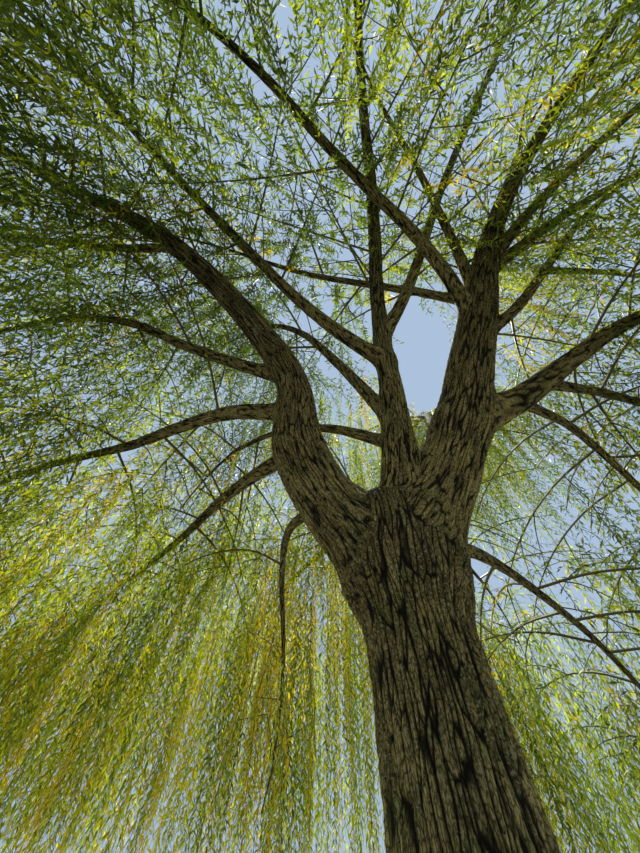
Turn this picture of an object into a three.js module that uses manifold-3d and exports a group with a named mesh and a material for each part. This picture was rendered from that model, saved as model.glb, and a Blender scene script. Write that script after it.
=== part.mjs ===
// Weeping willow: trunk, boughs and hanging masses of foliage as separate closed solids.
// Millimetres, +Z up. The origin is the middle of the flat cut under the trunk, at ground level.
// Headings are degrees round the trunk from +Y towards +X. Rises are degrees above level.

import * as THREE from 'three';
import { mergeVertices } from 'three/addons/utils/BufferGeometryUtils.js';
import Module from 'manifold-3d';

const wasm = await Module();
wasm.setup();

// Trunk
const TRUNK_HEIGHT = 4500;
const TRUNK_RADIUS = 470;
const TRUNK_LEAN = 2;
const TRUNK_HEADING = 10;
const FORK_HEIGHT = 4150;
const FORK_SWELL = 130;
const FORK_SWELL_DEPTH = 700;
const FORK_WIDENING = 0.12;
const FORK_DOME = 0.35;
const ROOT_FLARE = 250;
const ROOT_FLARE_HEIGHT = 400;
const ROOT_LOBES = 6;
const ROOT_LOBE_DEPTH = 0.14;
const TRUNK_SIDES = 18;
const TRUNK_STEPS = 11;
const FLARE_SPACING = 1.25;

// Boughs
const BOUGH_SIDES = 6;
const BOUGH_STEP = 1100;
const COLLAR_SWELL = 0.12;
const COLLAR_LENGTH = 700;
const GAP = 0.35;
const WELD = 1e-3;

// Masses of foliage
const STEM_LENGTH = 580;
const STEM_START = 20;
const STEM_DROOP = 12;
const STEM_NARROWING = 0.8;
const STEM_SIDES = 4;
const TWIGS = 5;
const TWIG_SIDES = 3;
const TWIG_RADIUS = 18;
const TWIG_TIP_RADIUS = 12;
const TWIG_TRIES = 80;
const TWIG_SPREAD = 40;
const FIRST_TWIG = 0.36;
const LAST_TWIG = 0.97;
const SHORTEST_TWIG = 1300;
const ARCH_HEIGHT = 0.5;
const RAGGED_FOOT = 1000;
const SHOULDER_DROP = 0.3;
const SWAY = 45;
const LEAVES = 3;
const LEAF_SHARE = 0.32;
const LEAF_WIDTH = 0.3;
const LEAF_THICKNESS = 0.05;
const LEAF_SUNK = 4;
const LEAF_LEAN = 30;
const LEAF_TURNS = 6;
const LEAF_ROOT_SHARE = 0.004;
const SHORTEST_LEAF = 750;
const LONGEST_LEAF = 1500;
const TEST_SPACING = 100;
const SPACE_MARGIN = 15;
const LIMB_MARGIN = 12;
const GOLDEN_ANGLE = 137.508;

// Seeded random numbers
const SEED = 3096;
const SEED_STEP = 7919;
const RANDOM_FACTOR = 1664525;
const RANDOM_STEP = 1013904223;
const RANDOM_RANGE = 2 ** 32;

// A leaf is two slim three-sided pyramids set foot to foot, with the corners on a ball of radius 1.
const HALF = 0.5;
const SIDE = Math.sqrt(0.75);
const LEAF_CORNERS = [0, 0, 1, 0, 0, -1, 1, 0, 0, -HALF, SIDE, 0, -HALF, -SIDE, 0];
const LEAF_FACES = [0, 2, 3, 0, 3, 4, 0, 4, 2, 1, 3, 2, 1, 4, 3, 1, 2, 4];

const BARK = { color: 0x4f463a, roughness: 0.95, metalness: 0 };
const DARK_LEAF = { color: 0x4c5e2a, roughness: 0.7, metalness: 0 };
const GREEN_LEAF = { color: 0x71832f, roughness: 0.7, metalness: 0 };
const GOLD_LEAF = { color: 0x9c9a34, roughness: 0.7, metalness: 0 };

// Each bough starts on the middle line of the limb that carries it, at a share of that limb's length,
// and ends where it enters its mass of foliage. Heading, rise and radius are read evenly along it.
// In its mass the twigs arch out to reach and hang down to the height foot.
const BOUGHS = [
  { name: 'left_bough', on: 'trunk', at: 0.76, length: 9800,
    radius: [360, 370, 380, 245, 215, 190, 155, 120, 88, 55],
    heading: [-106, -96, -172, -132, -128, -124, -112, -108, -130],
    rise: [44, 52, 58, 42, 30, 20, 14, 8, -14], reach: 1500, foot: 2100, leaf: DARK_LEAF },
  { name: 'right_bough', on: 'trunk', at: 0.83, length: 10400, radius: [430, 395, 320, 170, 100, 50],
    heading: [112, 150, 166, 150, 156], rise: [50, 56, 42, 20, -12],
    reach: 1500, foot: 2700, leaf: GREEN_LEAF },
  { name: 'middle_bough', on: 'trunk', at: 0.85, length: 10000, radius: [310, 190, 130, 115, 80, 45],
    heading: [166, 190, 184, 193, 184], rise: [60, 64, 42, 18, -10],
    reach: 1800, foot: 2700, leaf: DARK_LEAF },

  { name: 'left_outer_bough', on: 'left_bough', at: 0.66, length: 3300, radius: [75, 40],
    heading: [-84, -92, -96], rise: [14, -2, -26],
    reach: 1400, foot: 1900, leaf: DARK_LEAF },
  { name: 'left_level_bough', on: 'left_bough', at: 0.34, length: 5700, radius: [115, 80, 45],
    heading: [-86, -104, -72], rise: [34, 16, -18],
    reach: 1500, foot: 1900, leaf: GREEN_LEAF },
  { name: 'left_low_bough', on: 'left_bough', at: 0.28, length: 6600, radius: [130, 85, 45],
    heading: [-84, -60, -74, -64], rise: [18, 6, 2, -14],
    reach: 1800, foot: 1800, leaf: GOLD_LEAF },
  { name: 'left_back_bough', on: 'left_bough', at: 0.22, length: 6000, radius: [120, 80, 45],
    heading: [-44, -38, -52], rise: [20, 6, -14],
    reach: 1900, foot: 1700, leaf: GOLD_LEAF },
  { name: 'hanging_bough', on: 'left_bough', at: 0.13, length: 2700, radius: [80, 50, 35],
    heading: [-50, -8, 10], rise: [20, -4, -40],
    reach: 1100, foot: 1700, leaf: GOLD_LEAF },
  { name: 'left_inner_bough', on: 'middle_bough', at: 0.14, length: 3600, radius: [90, 60, 40],
    heading: [-80, -62, -48], rise: [44, 30, 10],
    reach: 1700, foot: 4800, leaf: GREEN_LEAF },
  { name: 'left_rising_bough', on: 'middle_bough', at: 0.17, length: 5000, radius: [110, 75, 40],
    heading: [-118, -104, -60], rise: [60, 58, 40],
    reach: 1800, foot: 6000, leaf: DARK_LEAF },

  { name: 'left_front_bough', on: 'middle_bough', at: 0.29, length: 7300, radius: [125, 85, 40],
    heading: [-106, -126, -130, -142], rise: [40, 26, 14, -22],
    reach: 1400, foot: 2500, leaf: DARK_LEAF },
  { name: 'front_right_bough', on: 'middle_bough', at: 0.34, length: 6800, radius: [110, 80, 40],
    heading: [140, 160, 158, 168], rise: [46, 44, 24, -6],
    reach: 1400, foot: 2900, leaf: GREEN_LEAF },
  { name: 'crossing_bough', on: 'right_bough', at: 0.4, length: 7200, radius: [130, 85, 40],
    heading: [-148, -126, -128, -108], rise: [38, 16, 0, -18],
    reach: 1400, foot: 2600, leaf: GREEN_LEAF },
  { name: 'upper_crossing_bough', on: 'right_bough', at: 0.44, length: 4100, radius: [110, 75, 40],
    heading: [-160, -150, -138], rise: [48, 34, 14],
    reach: 1800, foot: 6600, leaf: GREEN_LEAF },
  { name: 'back_crossing_bough', on: 'right_bough', at: 0.44, length: 4300, radius: [85, 60, 35],
    heading: [-98, -92, -104], rise: [16, 14, 16],
    reach: 1500, foot: 6200, leaf: DARK_LEAF },

  { name: 'top_bough', on: 'right_bough', at: 0.51, length: 3700, radius: [110, 75, 35],
    heading: [160, 150, 156], rise: [52, 46, 34],
    reach: 1700, foot: 7200, leaf: GREEN_LEAF },
  { name: 'right_front_bough', on: 'right_bough', at: 0.51, length: 4800, radius: [110, 80, 40],
    heading: [140, 134, 140], rise: [36, 18, -10],
    reach: 1400, foot: 2800, leaf: GREEN_LEAF },
  { name: 'right_upper_bough', on: 'right_bough', at: 0.5, length: 4900, radius: [100, 70, 40],
    heading: [124, 122, 100], rise: [30, 14, -10],
    reach: 1400, foot: 2600, leaf: GREEN_LEAF },
  { name: 'right_rising_bough', on: 'right_bough', at: 0.36, length: 4300, radius: [105, 75, 40],
    heading: [118, 142, 128], rise: [26, 36, 12],
    reach: 1300, foot: 6200, leaf: GREEN_LEAF },
  { name: 'right_forked_bough', on: 'right_rising_bough', at: 0.46, length: 2000, radius: [60, 35],
    heading: [92, 90, 84], rise: [16, 0, -14],
    reach: 1200, foot: 5200, leaf: GREEN_LEAF },

  { name: 'right_side_bough', on: 'right_bough', at: 0.2, length: 6600, radius: [250, 150, 90, 45],
    heading: [104, 120, 112, 106], rise: [22, 30, 8, -14],
    reach: 1400, foot: 2200, leaf: GREEN_LEAF },
  { name: 'right_level_bough', on: 'right_side_bough', at: 0.24, length: 4500, radius: [80, 60, 40],
    heading: [84, 76, 84], rise: [12, -2, -16],
    reach: 1400, foot: 1900, leaf: GREEN_LEAF },
  { name: 'right_drooping_bough', on: 'right_side_bough', at: 0.16, length: 4300, radius: [75, 55, 40],
    heading: [74, 52, 64], rise: [12, -16, -20],
    reach: 1300, foot: 1700, leaf: GREEN_LEAF },
  { name: 'low_right_bough', on: 'trunk', at: 0.88, length: 5600, radius: [105, 65, 40],
    heading: [74, 50, 56, 48], rise: [20, 12, -12, -18],
    reach: 1300, foot: 1700, leaf: GREEN_LEAF },

  { name: 'back_bough', on: 'trunk', at: 0.88, length: 7200, radius: [230, 120, 45],
    heading: [24, 8, 10, -2], rise: [58, 48, 24, -12],
    reach: 1800, foot: 1700, leaf: GOLD_LEAF },
  { name: 'back_left_bough', on: 'back_bough', at: 0.25, length: 5400, radius: [110, 75, 40],
    heading: [-10, -28, -36], rise: [34, 16, -14],
    reach: 1900, foot: 1600, leaf: GOLD_LEAF },
  { name: 'back_right_bough', on: 'back_bough', at: 0.2, length: 5600, radius: [120, 80, 40],
    heading: [38, 38, 46], rise: [40, 22, -14],
    reach: 1900, foot: 1700, leaf: GREEN_LEAF },
  { name: 'back_rising_bough', on: 'back_bough', at: 0.18, length: 5000, radius: [110, 75, 40],
    heading: [-20, -32, -36], rise: [62, 56, 30],
    reach: 1900, foot: 6200, leaf: GOLD_LEAF },
  { name: 'crown_bough', on: 'right_bough', at: 0.12, length: 6300, radius: [170, 110, 45],
    heading: [60, 34, 10], rise: [66, 70, 46],
    reach: 1900, foot: 6800, leaf: GREEN_LEAF },
];

const radians = THREE.MathUtils.degToRad;
const lerp = THREE.MathUtils.lerp;

// Numbers between 0 and 1 that come out the same each time for the same seed.
function seededRandom(seed) {
  let state = seed;
  return () => {
    state = (state * RANDOM_FACTOR + RANDOM_STEP) % RANDOM_RANGE;
    return state / RANDOM_RANGE;
  };
}

// A value somewhere between two others.
function between(low, high, random) {
  return lerp(low, high, random());
}

function direction(heading, rise) {
  const flat = Math.cos(radians(rise));
  return new THREE.Vector3(
    Math.sin(radians(heading)) * flat,
    Math.cos(radians(heading)) * flat,
    Math.sin(radians(rise)),
  );
}

// A value read evenly along a short list, for a share from 0 to 1.
function along(values, share) {
  const place = share * (values.length - 1);
  const left = Math.min(Math.floor(place), values.length - 2);
  return lerp(values[left], values[left + 1], place - left);
}

// A point on a line of points, for a share of its length.
function pointAlong(points, share) {
  const place = share * (points.length - 1);
  const left = Math.min(Math.floor(place), points.length - 2);
  return points[left].clone().lerp(points[left + 1], place - left);
}

// A closed tube on a line of points: a cylinder whose rings are laid square to the line.
// radiusAt(share, angle) gives the distance of each corner from the line.
function tubeGeometry(points, sides, radiusAt) {
  const steps = points.length - 1;
  const geometry = new THREE.CylinderGeometry(1, 1, 1, sides, steps);
  geometry.deleteAttribute('normal');
  geometry.deleteAttribute('uv');
  const rings = [];
  let across = null;
  for (let i = 0; i <= steps; i += 1) {
    const before = points[Math.max(i - 1, 0)];
    const after = points[Math.min(i + 1, steps)];
    const ahead = after.clone().sub(before).normalize();
    across ??= Math.abs(ahead.x) < 0.9 ? new THREE.Vector3(1, 0, 0) : new THREE.Vector3(0, 1, 0);
    across = across.clone().addScaledVector(ahead, -across.dot(ahead)).normalize();
    rings.push({ centre: points[i], across, side: ahead.clone().cross(across) });
  }
  const position = geometry.getAttribute('position');
  const corner = new THREE.Vector3();
  for (let i = 0; i < position.count; i += 1) {
    corner.fromBufferAttribute(position, i);
    const row = Math.round((0.5 - corner.y) * steps);
    const ring = rings[row];
    const onAxis = Math.hypot(corner.x, corner.z) < 0.5;
    const radius = onAxis ? 0 : radiusAt(row / steps, Math.atan2(corner.z, corner.x));
    const place = ring.centre.clone()
      .addScaledVector(ring.across, corner.x * radius)
      .addScaledVector(ring.side, corner.z * radius);
    position.setXYZ(i, place.x, place.y, place.z);
  }
  return mergeVertices(geometry, WELD);
}

function solidFrom(geometry) {
  return new wasm.Manifold(new wasm.Mesh({
    numProp: 3,
    vertProperties: new Float32Array(geometry.getAttribute('position').array),
    triVerts: new Uint32Array(geometry.getIndex().array),
  }));
}

// The largest body of a solid: loose scraps and sealed hollows are left behind.
function largestBody(solid) {
  return solid.decompose().sort((a, b) => b.volume() - a.volume())[0];
}

function geometryFrom(solid) {
  const mesh = solid.getMesh();
  const geometry = new THREE.BufferGeometry();
  geometry.setAttribute('position', new THREE.BufferAttribute(new Float32Array(mesh.vertProperties), 3));
  geometry.setIndex(new THREE.BufferAttribute(new Uint32Array(mesh.triVerts), 1));
  geometry.computeVertexNormals();
  return geometry;
}

function namedMesh(name, solid, look) {
  const mesh = new THREE.Mesh(geometryFrom(solid), new THREE.MeshStandardMaterial(look));
  mesh.name = name;
  return mesh;
}

// The trunk's middle line leans by the same angle all the way up.
function trunkLine() {
  const lean = direction(TRUNK_HEADING, 90 - TRUNK_LEAN);
  return [new THREE.Vector3(), lean.clone().multiplyScalar(TRUNK_HEIGHT / lean.z)];
}

// The trunk's radius: flared in lobes at the root, swollen and widened sideways below the fork,
// and domed over between the feet of the boughs.
function trunkRadius(height, angle) {
  const flare = Math.exp(-height / ROOT_FLARE_HEIGHT);
  const lobes = 1 + ROOT_LOBE_DEPTH * flare * Math.cos(ROOT_LOBES * angle);
  const swell = Math.exp(-Math.pow((height - FORK_HEIGHT) / FORK_SWELL_DEPTH, 2));
  const wide = 1 + FORK_WIDENING * swell * Math.cos(2 * angle);
  const past = Math.max(0, (height - FORK_HEIGHT) / (TRUNK_HEIGHT - FORK_HEIGHT));
  const dome = 1 - (1 - FORK_DOME) * past * past;
  return (TRUNK_RADIUS + ROOT_FLARE * flare + FORK_SWELL * swell) * lobes * wide * dome;
}

// The trunk's rings lie level, so that its foot is a flat cut, and closer together in the root flare.
// Its middle line leans, so each ring is moved over by its height.
function trunkSolid(grow) {
  const heights = [];
  for (let i = 0; i <= TRUNK_STEPS; i += 1) {
    heights.push(TRUNK_HEIGHT * Math.pow(i / TRUNK_STEPS, FLARE_SPACING));
  }
  const geometry = tubeGeometry(
    heights.map((height) => new THREE.Vector3(0, 0, height)),
    TRUNK_SIDES,
    (share, angle) => trunkRadius(heights[Math.round(share * TRUNK_STEPS)], angle) + grow,
  );
  const top = trunkLine()[1];
  const lean = new THREE.Matrix4().set(
    1, 0, top.x / top.z, 0,
    0, 1, top.y / top.z, 0,
    0, 0, 1 + grow / TRUNK_HEIGHT, 0,
    0, 0, 0, 1,
  );
  return solidFrom(geometry.applyMatrix4(lean));
}

// A bough's middle line is stepped out along its headings and rises.
function boughLine(bough, start) {
  const steps = Math.max(3, Math.round(bough.length / BOUGH_STEP));
  const points = [start];
  for (let i = 0; i < steps; i += 1) {
    const share = (i + 0.5) / steps;
    const ahead = direction(along(bough.heading, share), along(bough.rise, share));
    points.push(points[i].clone().addScaledVector(ahead, bough.length / steps));
  }
  return points;
}

// A bough tapers all the way and swells into a collar at its foot.
function boughRadius(bough, share) {
  const collar = 1 + COLLAR_SWELL * Math.exp(-(share * bough.length) / COLLAR_LENGTH);
  return along(bough.radius, share) * collar;
}

// The bough as a solid, or that solid grown on its sides and past its tip, to cut others clear of it.
function boughSolid(bough, points, grow) {
  const [last, before] = [points.at(-1), points.at(-2)];
  const ahead = last.clone().sub(before).normalize();
  const line = [...points.slice(0, -1), last.clone().addScaledVector(ahead, grow)];
  return solidFrom(tubeGeometry(line, BOUGH_SIDES, (share) => boughRadius(bough, share) + grow));
}

// How far a place is from the nearest wall of a mass's own space. The wall between two masses stands
// upright, halfway between the tips of their boughs.
function roomToWalls(own, place) {
  let room = Infinity;
  for (const other of tips.values()) {
    const across = new THREE.Vector2(other.x - own.x, other.y - own.y);
    const apart = across.length();
    if (apart > 0) {
      const gone = ((place.x - own.x) * across.x + (place.y - own.y) * across.y) / apart;
      room = Math.min(room, apart / 2 - gone);
    }
  }
  return room;
}

// A mass's space: the tip that it hangs from, and the places on limbs that pass in or near it.
function spaceOf(tip) {
  const knots = [];
  for (const limb of limbs.values()) {
    knots.push(...limb.knots.filter((knot) => roomToWalls(tip, knot.centre) > -knot.radius - LONGEST_LEAF));
  }
  return { tip, knots };
}

// Whether a ball of radius spare, at every one of these places, stays in the space and off the limbs.
function fits(space, places, spare) {
  return places.every((place) => roomToWalls(space.tip, place) > spare + SPACE_MARGIN
    && space.knots.every((knot) => knot.centre.distanceTo(place) > knot.radius + spare + LIMB_MARGIN));
}

// A twig arches out from the stem to a shoulder and then hangs down, swaying a little.
function twigLine(root, heading, out, arch, foot, random) {
  const ahead = direction(heading, 0).multiplyScalar(out);
  const sway = new THREE.Vector3(between(-SWAY, SWAY, random), between(-SWAY, SWAY, random), 0);
  const crown = root.clone().addScaledVector(ahead, 0.5).setZ(root.z + arch);
  const shoulder = root.clone().add(ahead).setZ(root.z - out * SHOULDER_DROP);
  const end = shoulder.clone().add(sway).setZ(foot);
  return [root, crown, shoulder, end];
}

// Places spaced closely along a line.
function placesAlong(line) {
  const places = [line[0]];
  for (let i = 1; i < line.length; i += 1) {
    const count = Math.ceil(line[i].distanceTo(line[i - 1]) / TEST_SPACING);
    for (let k = 1; k <= count; k += 1) {
      places.push(line[i - 1].clone().lerp(line[i], k / count));
    }
  }
  return places;
}

// A leaf stands for a spray of narrow leaves. It hangs from its root, leaning towards a heading.
function leafGeometry(root, heading, lean, length, turn) {
  const geometry = new THREE.PolyhedronGeometry(LEAF_CORNERS, LEAF_FACES, 1);
  geometry.deleteAttribute('normal');
  geometry.deleteAttribute('uv');
  geometry.scale((length * LEAF_WIDTH) / 2, (length * LEAF_THICKNESS) / 2, length / 2);
  geometry.translate(0, 0, LEAF_SUNK - length / 2);
  geometry.rotateZ(radians(turn));
  geometry.rotateX(radians(lean));
  geometry.rotateZ(radians(-heading));
  geometry.translate(root.x, root.y, root.z);
  return mergeVertices(geometry, WELD);
}

function leafTip(root, heading, lean, length) {
  return root.clone().addScaledVector(direction(heading, lean - 90), length - LEAF_SUNK);
}

// Leaves stand along the whole twig. One that would cross a twig or another leaf is turned on.
function addLeaves(solid, space, line, drop, random) {
  const length = THREE.MathUtils.clamp(drop * LEAF_SHARE, SHORTEST_LEAF, LONGEST_LEAF);
  const places = placesAlong(line);
  let whole = solid;
  for (let k = 0; k < LEAVES; k += 1) {
    const share = (k + between(0.3, 0.7, random)) / LEAVES;
    const root = places[Math.round(share * (places.length - 1))];
    const size = length * between(0.85, 1.15, random);
    const lean = LEAF_LEAN * between(0.8, 1.3, random);
    const first = between(0, 360, random);
    for (let turned = 0; turned < LEAF_TURNS; turned += 1) {
      const heading = first + turned * GOLDEN_ANGLE;
      const tip = leafTip(root, heading, lean, size);
      const open = fits(space, placesAlong([root, tip]), (size * LEAF_WIDTH) / 2);
      const turn = between(0, 180, random);
      const leaf = solidFrom(leafGeometry(root, heading, lean, size, turn));
      if (open && whole.intersect(leaf).volume() < leaf.volume() * LEAF_ROOT_SHARE) {
        whole = whole.add(leaf);
        break;
      }
    }
  }
  return whole;
}

// A mass grows from its bough's tip: a short stem that carries the bough's line on, drooping, and
// twigs spread evenly round it. A twig or leaf that would leave the mass's space is left out.
function massSolid(bough, points, seed) {
  const random = seededRandom(seed);
  const tip = points.at(-1);
  const space = spaceOf(tip);
  const heading = bough.heading.at(-1);
  const rise = bough.rise.at(-1);
  const stem = [tip.clone().addScaledVector(direction(heading, rise), -STEM_START)];
  for (let i = 1; i <= 2; i += 1) {
    const ahead = direction(heading, rise - i * STEM_DROOP);
    stem.push(stem[i - 1].clone().addScaledVector(ahead, STEM_LENGTH / 2));
  }
  const stemRadius = bough.radius.at(-1);
  const narrowing = (share) => lerp(stemRadius, stemRadius * STEM_NARROWING, share);
  let solid = solidFrom(tubeGeometry(stem, STEM_SIDES, narrowing));
  let grown = 0;
  for (let i = 0; i < TWIG_TRIES && grown < TWIGS; i += 1) {
    const root = pointAlong(stem, lerp(FIRST_TWIG, LAST_TWIG, grown / (TWIGS - 1)));
    const out = bough.reach * Math.sqrt((grown + 0.6) / TWIGS) * between(0.75, 1.1, random);
    const arch = out * ARCH_HEIGHT * between(0.4, 1.2, random);
    const foot = bough.foot + between(0, RAGGED_FOOT, random);
    const turn = i * GOLDEN_ANGLE + between(0, TWIG_SPREAD, random);
    const line = twigLine(root, turn, out, arch, foot, random);
    const drop = root.z - foot;
    if (drop > SHORTEST_TWIG && fits(space, placesAlong(line), TWIG_RADIUS)) {
      const taper = (share) => lerp(TWIG_RADIUS, TWIG_TIP_RADIUS, share);
      solid = solid.add(solidFrom(tubeGeometry(line, TWIG_SIDES, taper)));
      solid = addLeaves(solid, space, line, drop, random);
      grown += 1;
    }
  }
  return largestBody(solid.subtract(limbs.get(bough.name).grown));
}

// Places on a limb's middle line, spaced closely, with the limb's radius there.
function knotsAlong(points, radiusAt) {
  const places = placesAlong(points);
  return places.map((centre, i) => ({ centre, radius: radiusAt(i / (places.length - 1)) }));
}

const willow = new THREE.Group();
const limbs = new Map();
limbs.set('trunk', {
  points: trunkLine(),
  grown: trunkSolid(GAP),
  knots: knotsAlong(trunkLine(), () => TRUNK_RADIUS + FORK_SWELL),
});
willow.add(namedMesh('trunk', trunkSolid(0), BARK));

// Every bough is cut clear of the limbs that were made before it.
for (const bough of BOUGHS) {
  const points = boughLine(bough, pointAlong(limbs.get(bough.on).points, bough.at));
  let solid = boughSolid(bough, points, 0);
  for (const limb of limbs.values()) {
    solid = solid.subtract(limb.grown);
  }
  limbs.set(bough.name, {
    points,
    grown: boughSolid(bough, points, GAP),
    knots: knotsAlong(points, (share) => boughRadius(bough, share)),
  });
  willow.add(namedMesh(bough.name, largestBody(solid), BARK));
}

const tips = new Map(BOUGHS.map((bough) => [bough.name, limbs.get(bough.name).points.at(-1)]));
BOUGHS.forEach((bough, index) => {
  const solid = massSolid(bough, limbs.get(bough.name).points, SEED + SEED_STEP * index);
  willow.add(namedMesh(`${bough.name.replace(/_bough$/, '')}_foliage`, solid, bough.leaf));
});

export default willow;
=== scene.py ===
"""Weeping willow: furrowed bark on the trunk and boughs, and the twigs and leaves that hang from them."""

import math
from dataclasses import dataclass
from functools import lru_cache

import bpy
import numpy as np
from bpy.props import FloatProperty, FloatVectorProperty, IntProperty, PointerProperty
from mathutils import Matrix, Vector


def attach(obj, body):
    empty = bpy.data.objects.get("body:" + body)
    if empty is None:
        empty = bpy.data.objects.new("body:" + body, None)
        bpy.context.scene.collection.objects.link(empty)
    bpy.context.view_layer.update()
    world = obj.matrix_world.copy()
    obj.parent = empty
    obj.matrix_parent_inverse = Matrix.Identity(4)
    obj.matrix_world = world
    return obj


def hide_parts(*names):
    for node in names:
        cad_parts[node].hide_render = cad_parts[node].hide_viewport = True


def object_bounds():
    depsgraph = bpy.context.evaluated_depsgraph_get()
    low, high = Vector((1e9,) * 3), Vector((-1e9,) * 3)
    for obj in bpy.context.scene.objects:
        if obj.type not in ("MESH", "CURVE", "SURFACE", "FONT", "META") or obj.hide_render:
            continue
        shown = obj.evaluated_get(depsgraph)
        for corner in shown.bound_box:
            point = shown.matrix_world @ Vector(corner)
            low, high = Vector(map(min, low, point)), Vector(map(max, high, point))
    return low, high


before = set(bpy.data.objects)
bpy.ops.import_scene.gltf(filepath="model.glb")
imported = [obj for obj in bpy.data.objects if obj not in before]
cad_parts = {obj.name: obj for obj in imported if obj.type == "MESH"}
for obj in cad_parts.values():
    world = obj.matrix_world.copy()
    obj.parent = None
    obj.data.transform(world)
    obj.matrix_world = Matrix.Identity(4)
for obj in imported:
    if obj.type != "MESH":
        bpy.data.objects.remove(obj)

bl_info = {
    "name": "Weeping Willow",
    "version": (1, 0, 0),
    "blender": (4, 5, 0),
    "location": "View3D > Sidebar > Willow",
    "description": "Grows the bark, twigs and leaves of a weeping willow on its packed limbs",
    "category": "Add Mesh",
}

CAD_BOX = [list(corner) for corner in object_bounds()]

# The limbs, as the part's source grows them. Headings are degrees round the trunk from +Y towards +X,
# rises are degrees above level, and lengths and radii are metres.
TRUNK_LEAN = 2.0
TRUNK_HEADING = 10.0
FORK_HEIGHT = 4.15
FORK_SWELL_DEPTH = 0.7
FORK_WIDENING = 0.12
FORK_DOME = 0.35
ROOT_FLARE_HEIGHT = 0.4
ROOT_LOBES = 6
ROOT_LOBE_DEPTH = 0.14
BOUGH_STEP = 1.1
COLLAR_SWELL = 0.12
COLLAR_LENGTH = 0.7
STEM_LENGTH = 0.58
STEM_DROOP = 12.0
SHOULDER_DROP = 0.3
GOLDEN_ANGLE = 137.508
SEED = 3096
SEED_STEP = 7919


@dataclass(frozen=True)
class Bough:
    """A limb: where it starts, how it runs, and how far and how low its mass of foliage reaches."""

    name: str
    on: str
    at: float
    length: float
    radius: tuple
    heading: tuple
    rise: tuple
    reach: float
    foot: float
    tint: str


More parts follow.
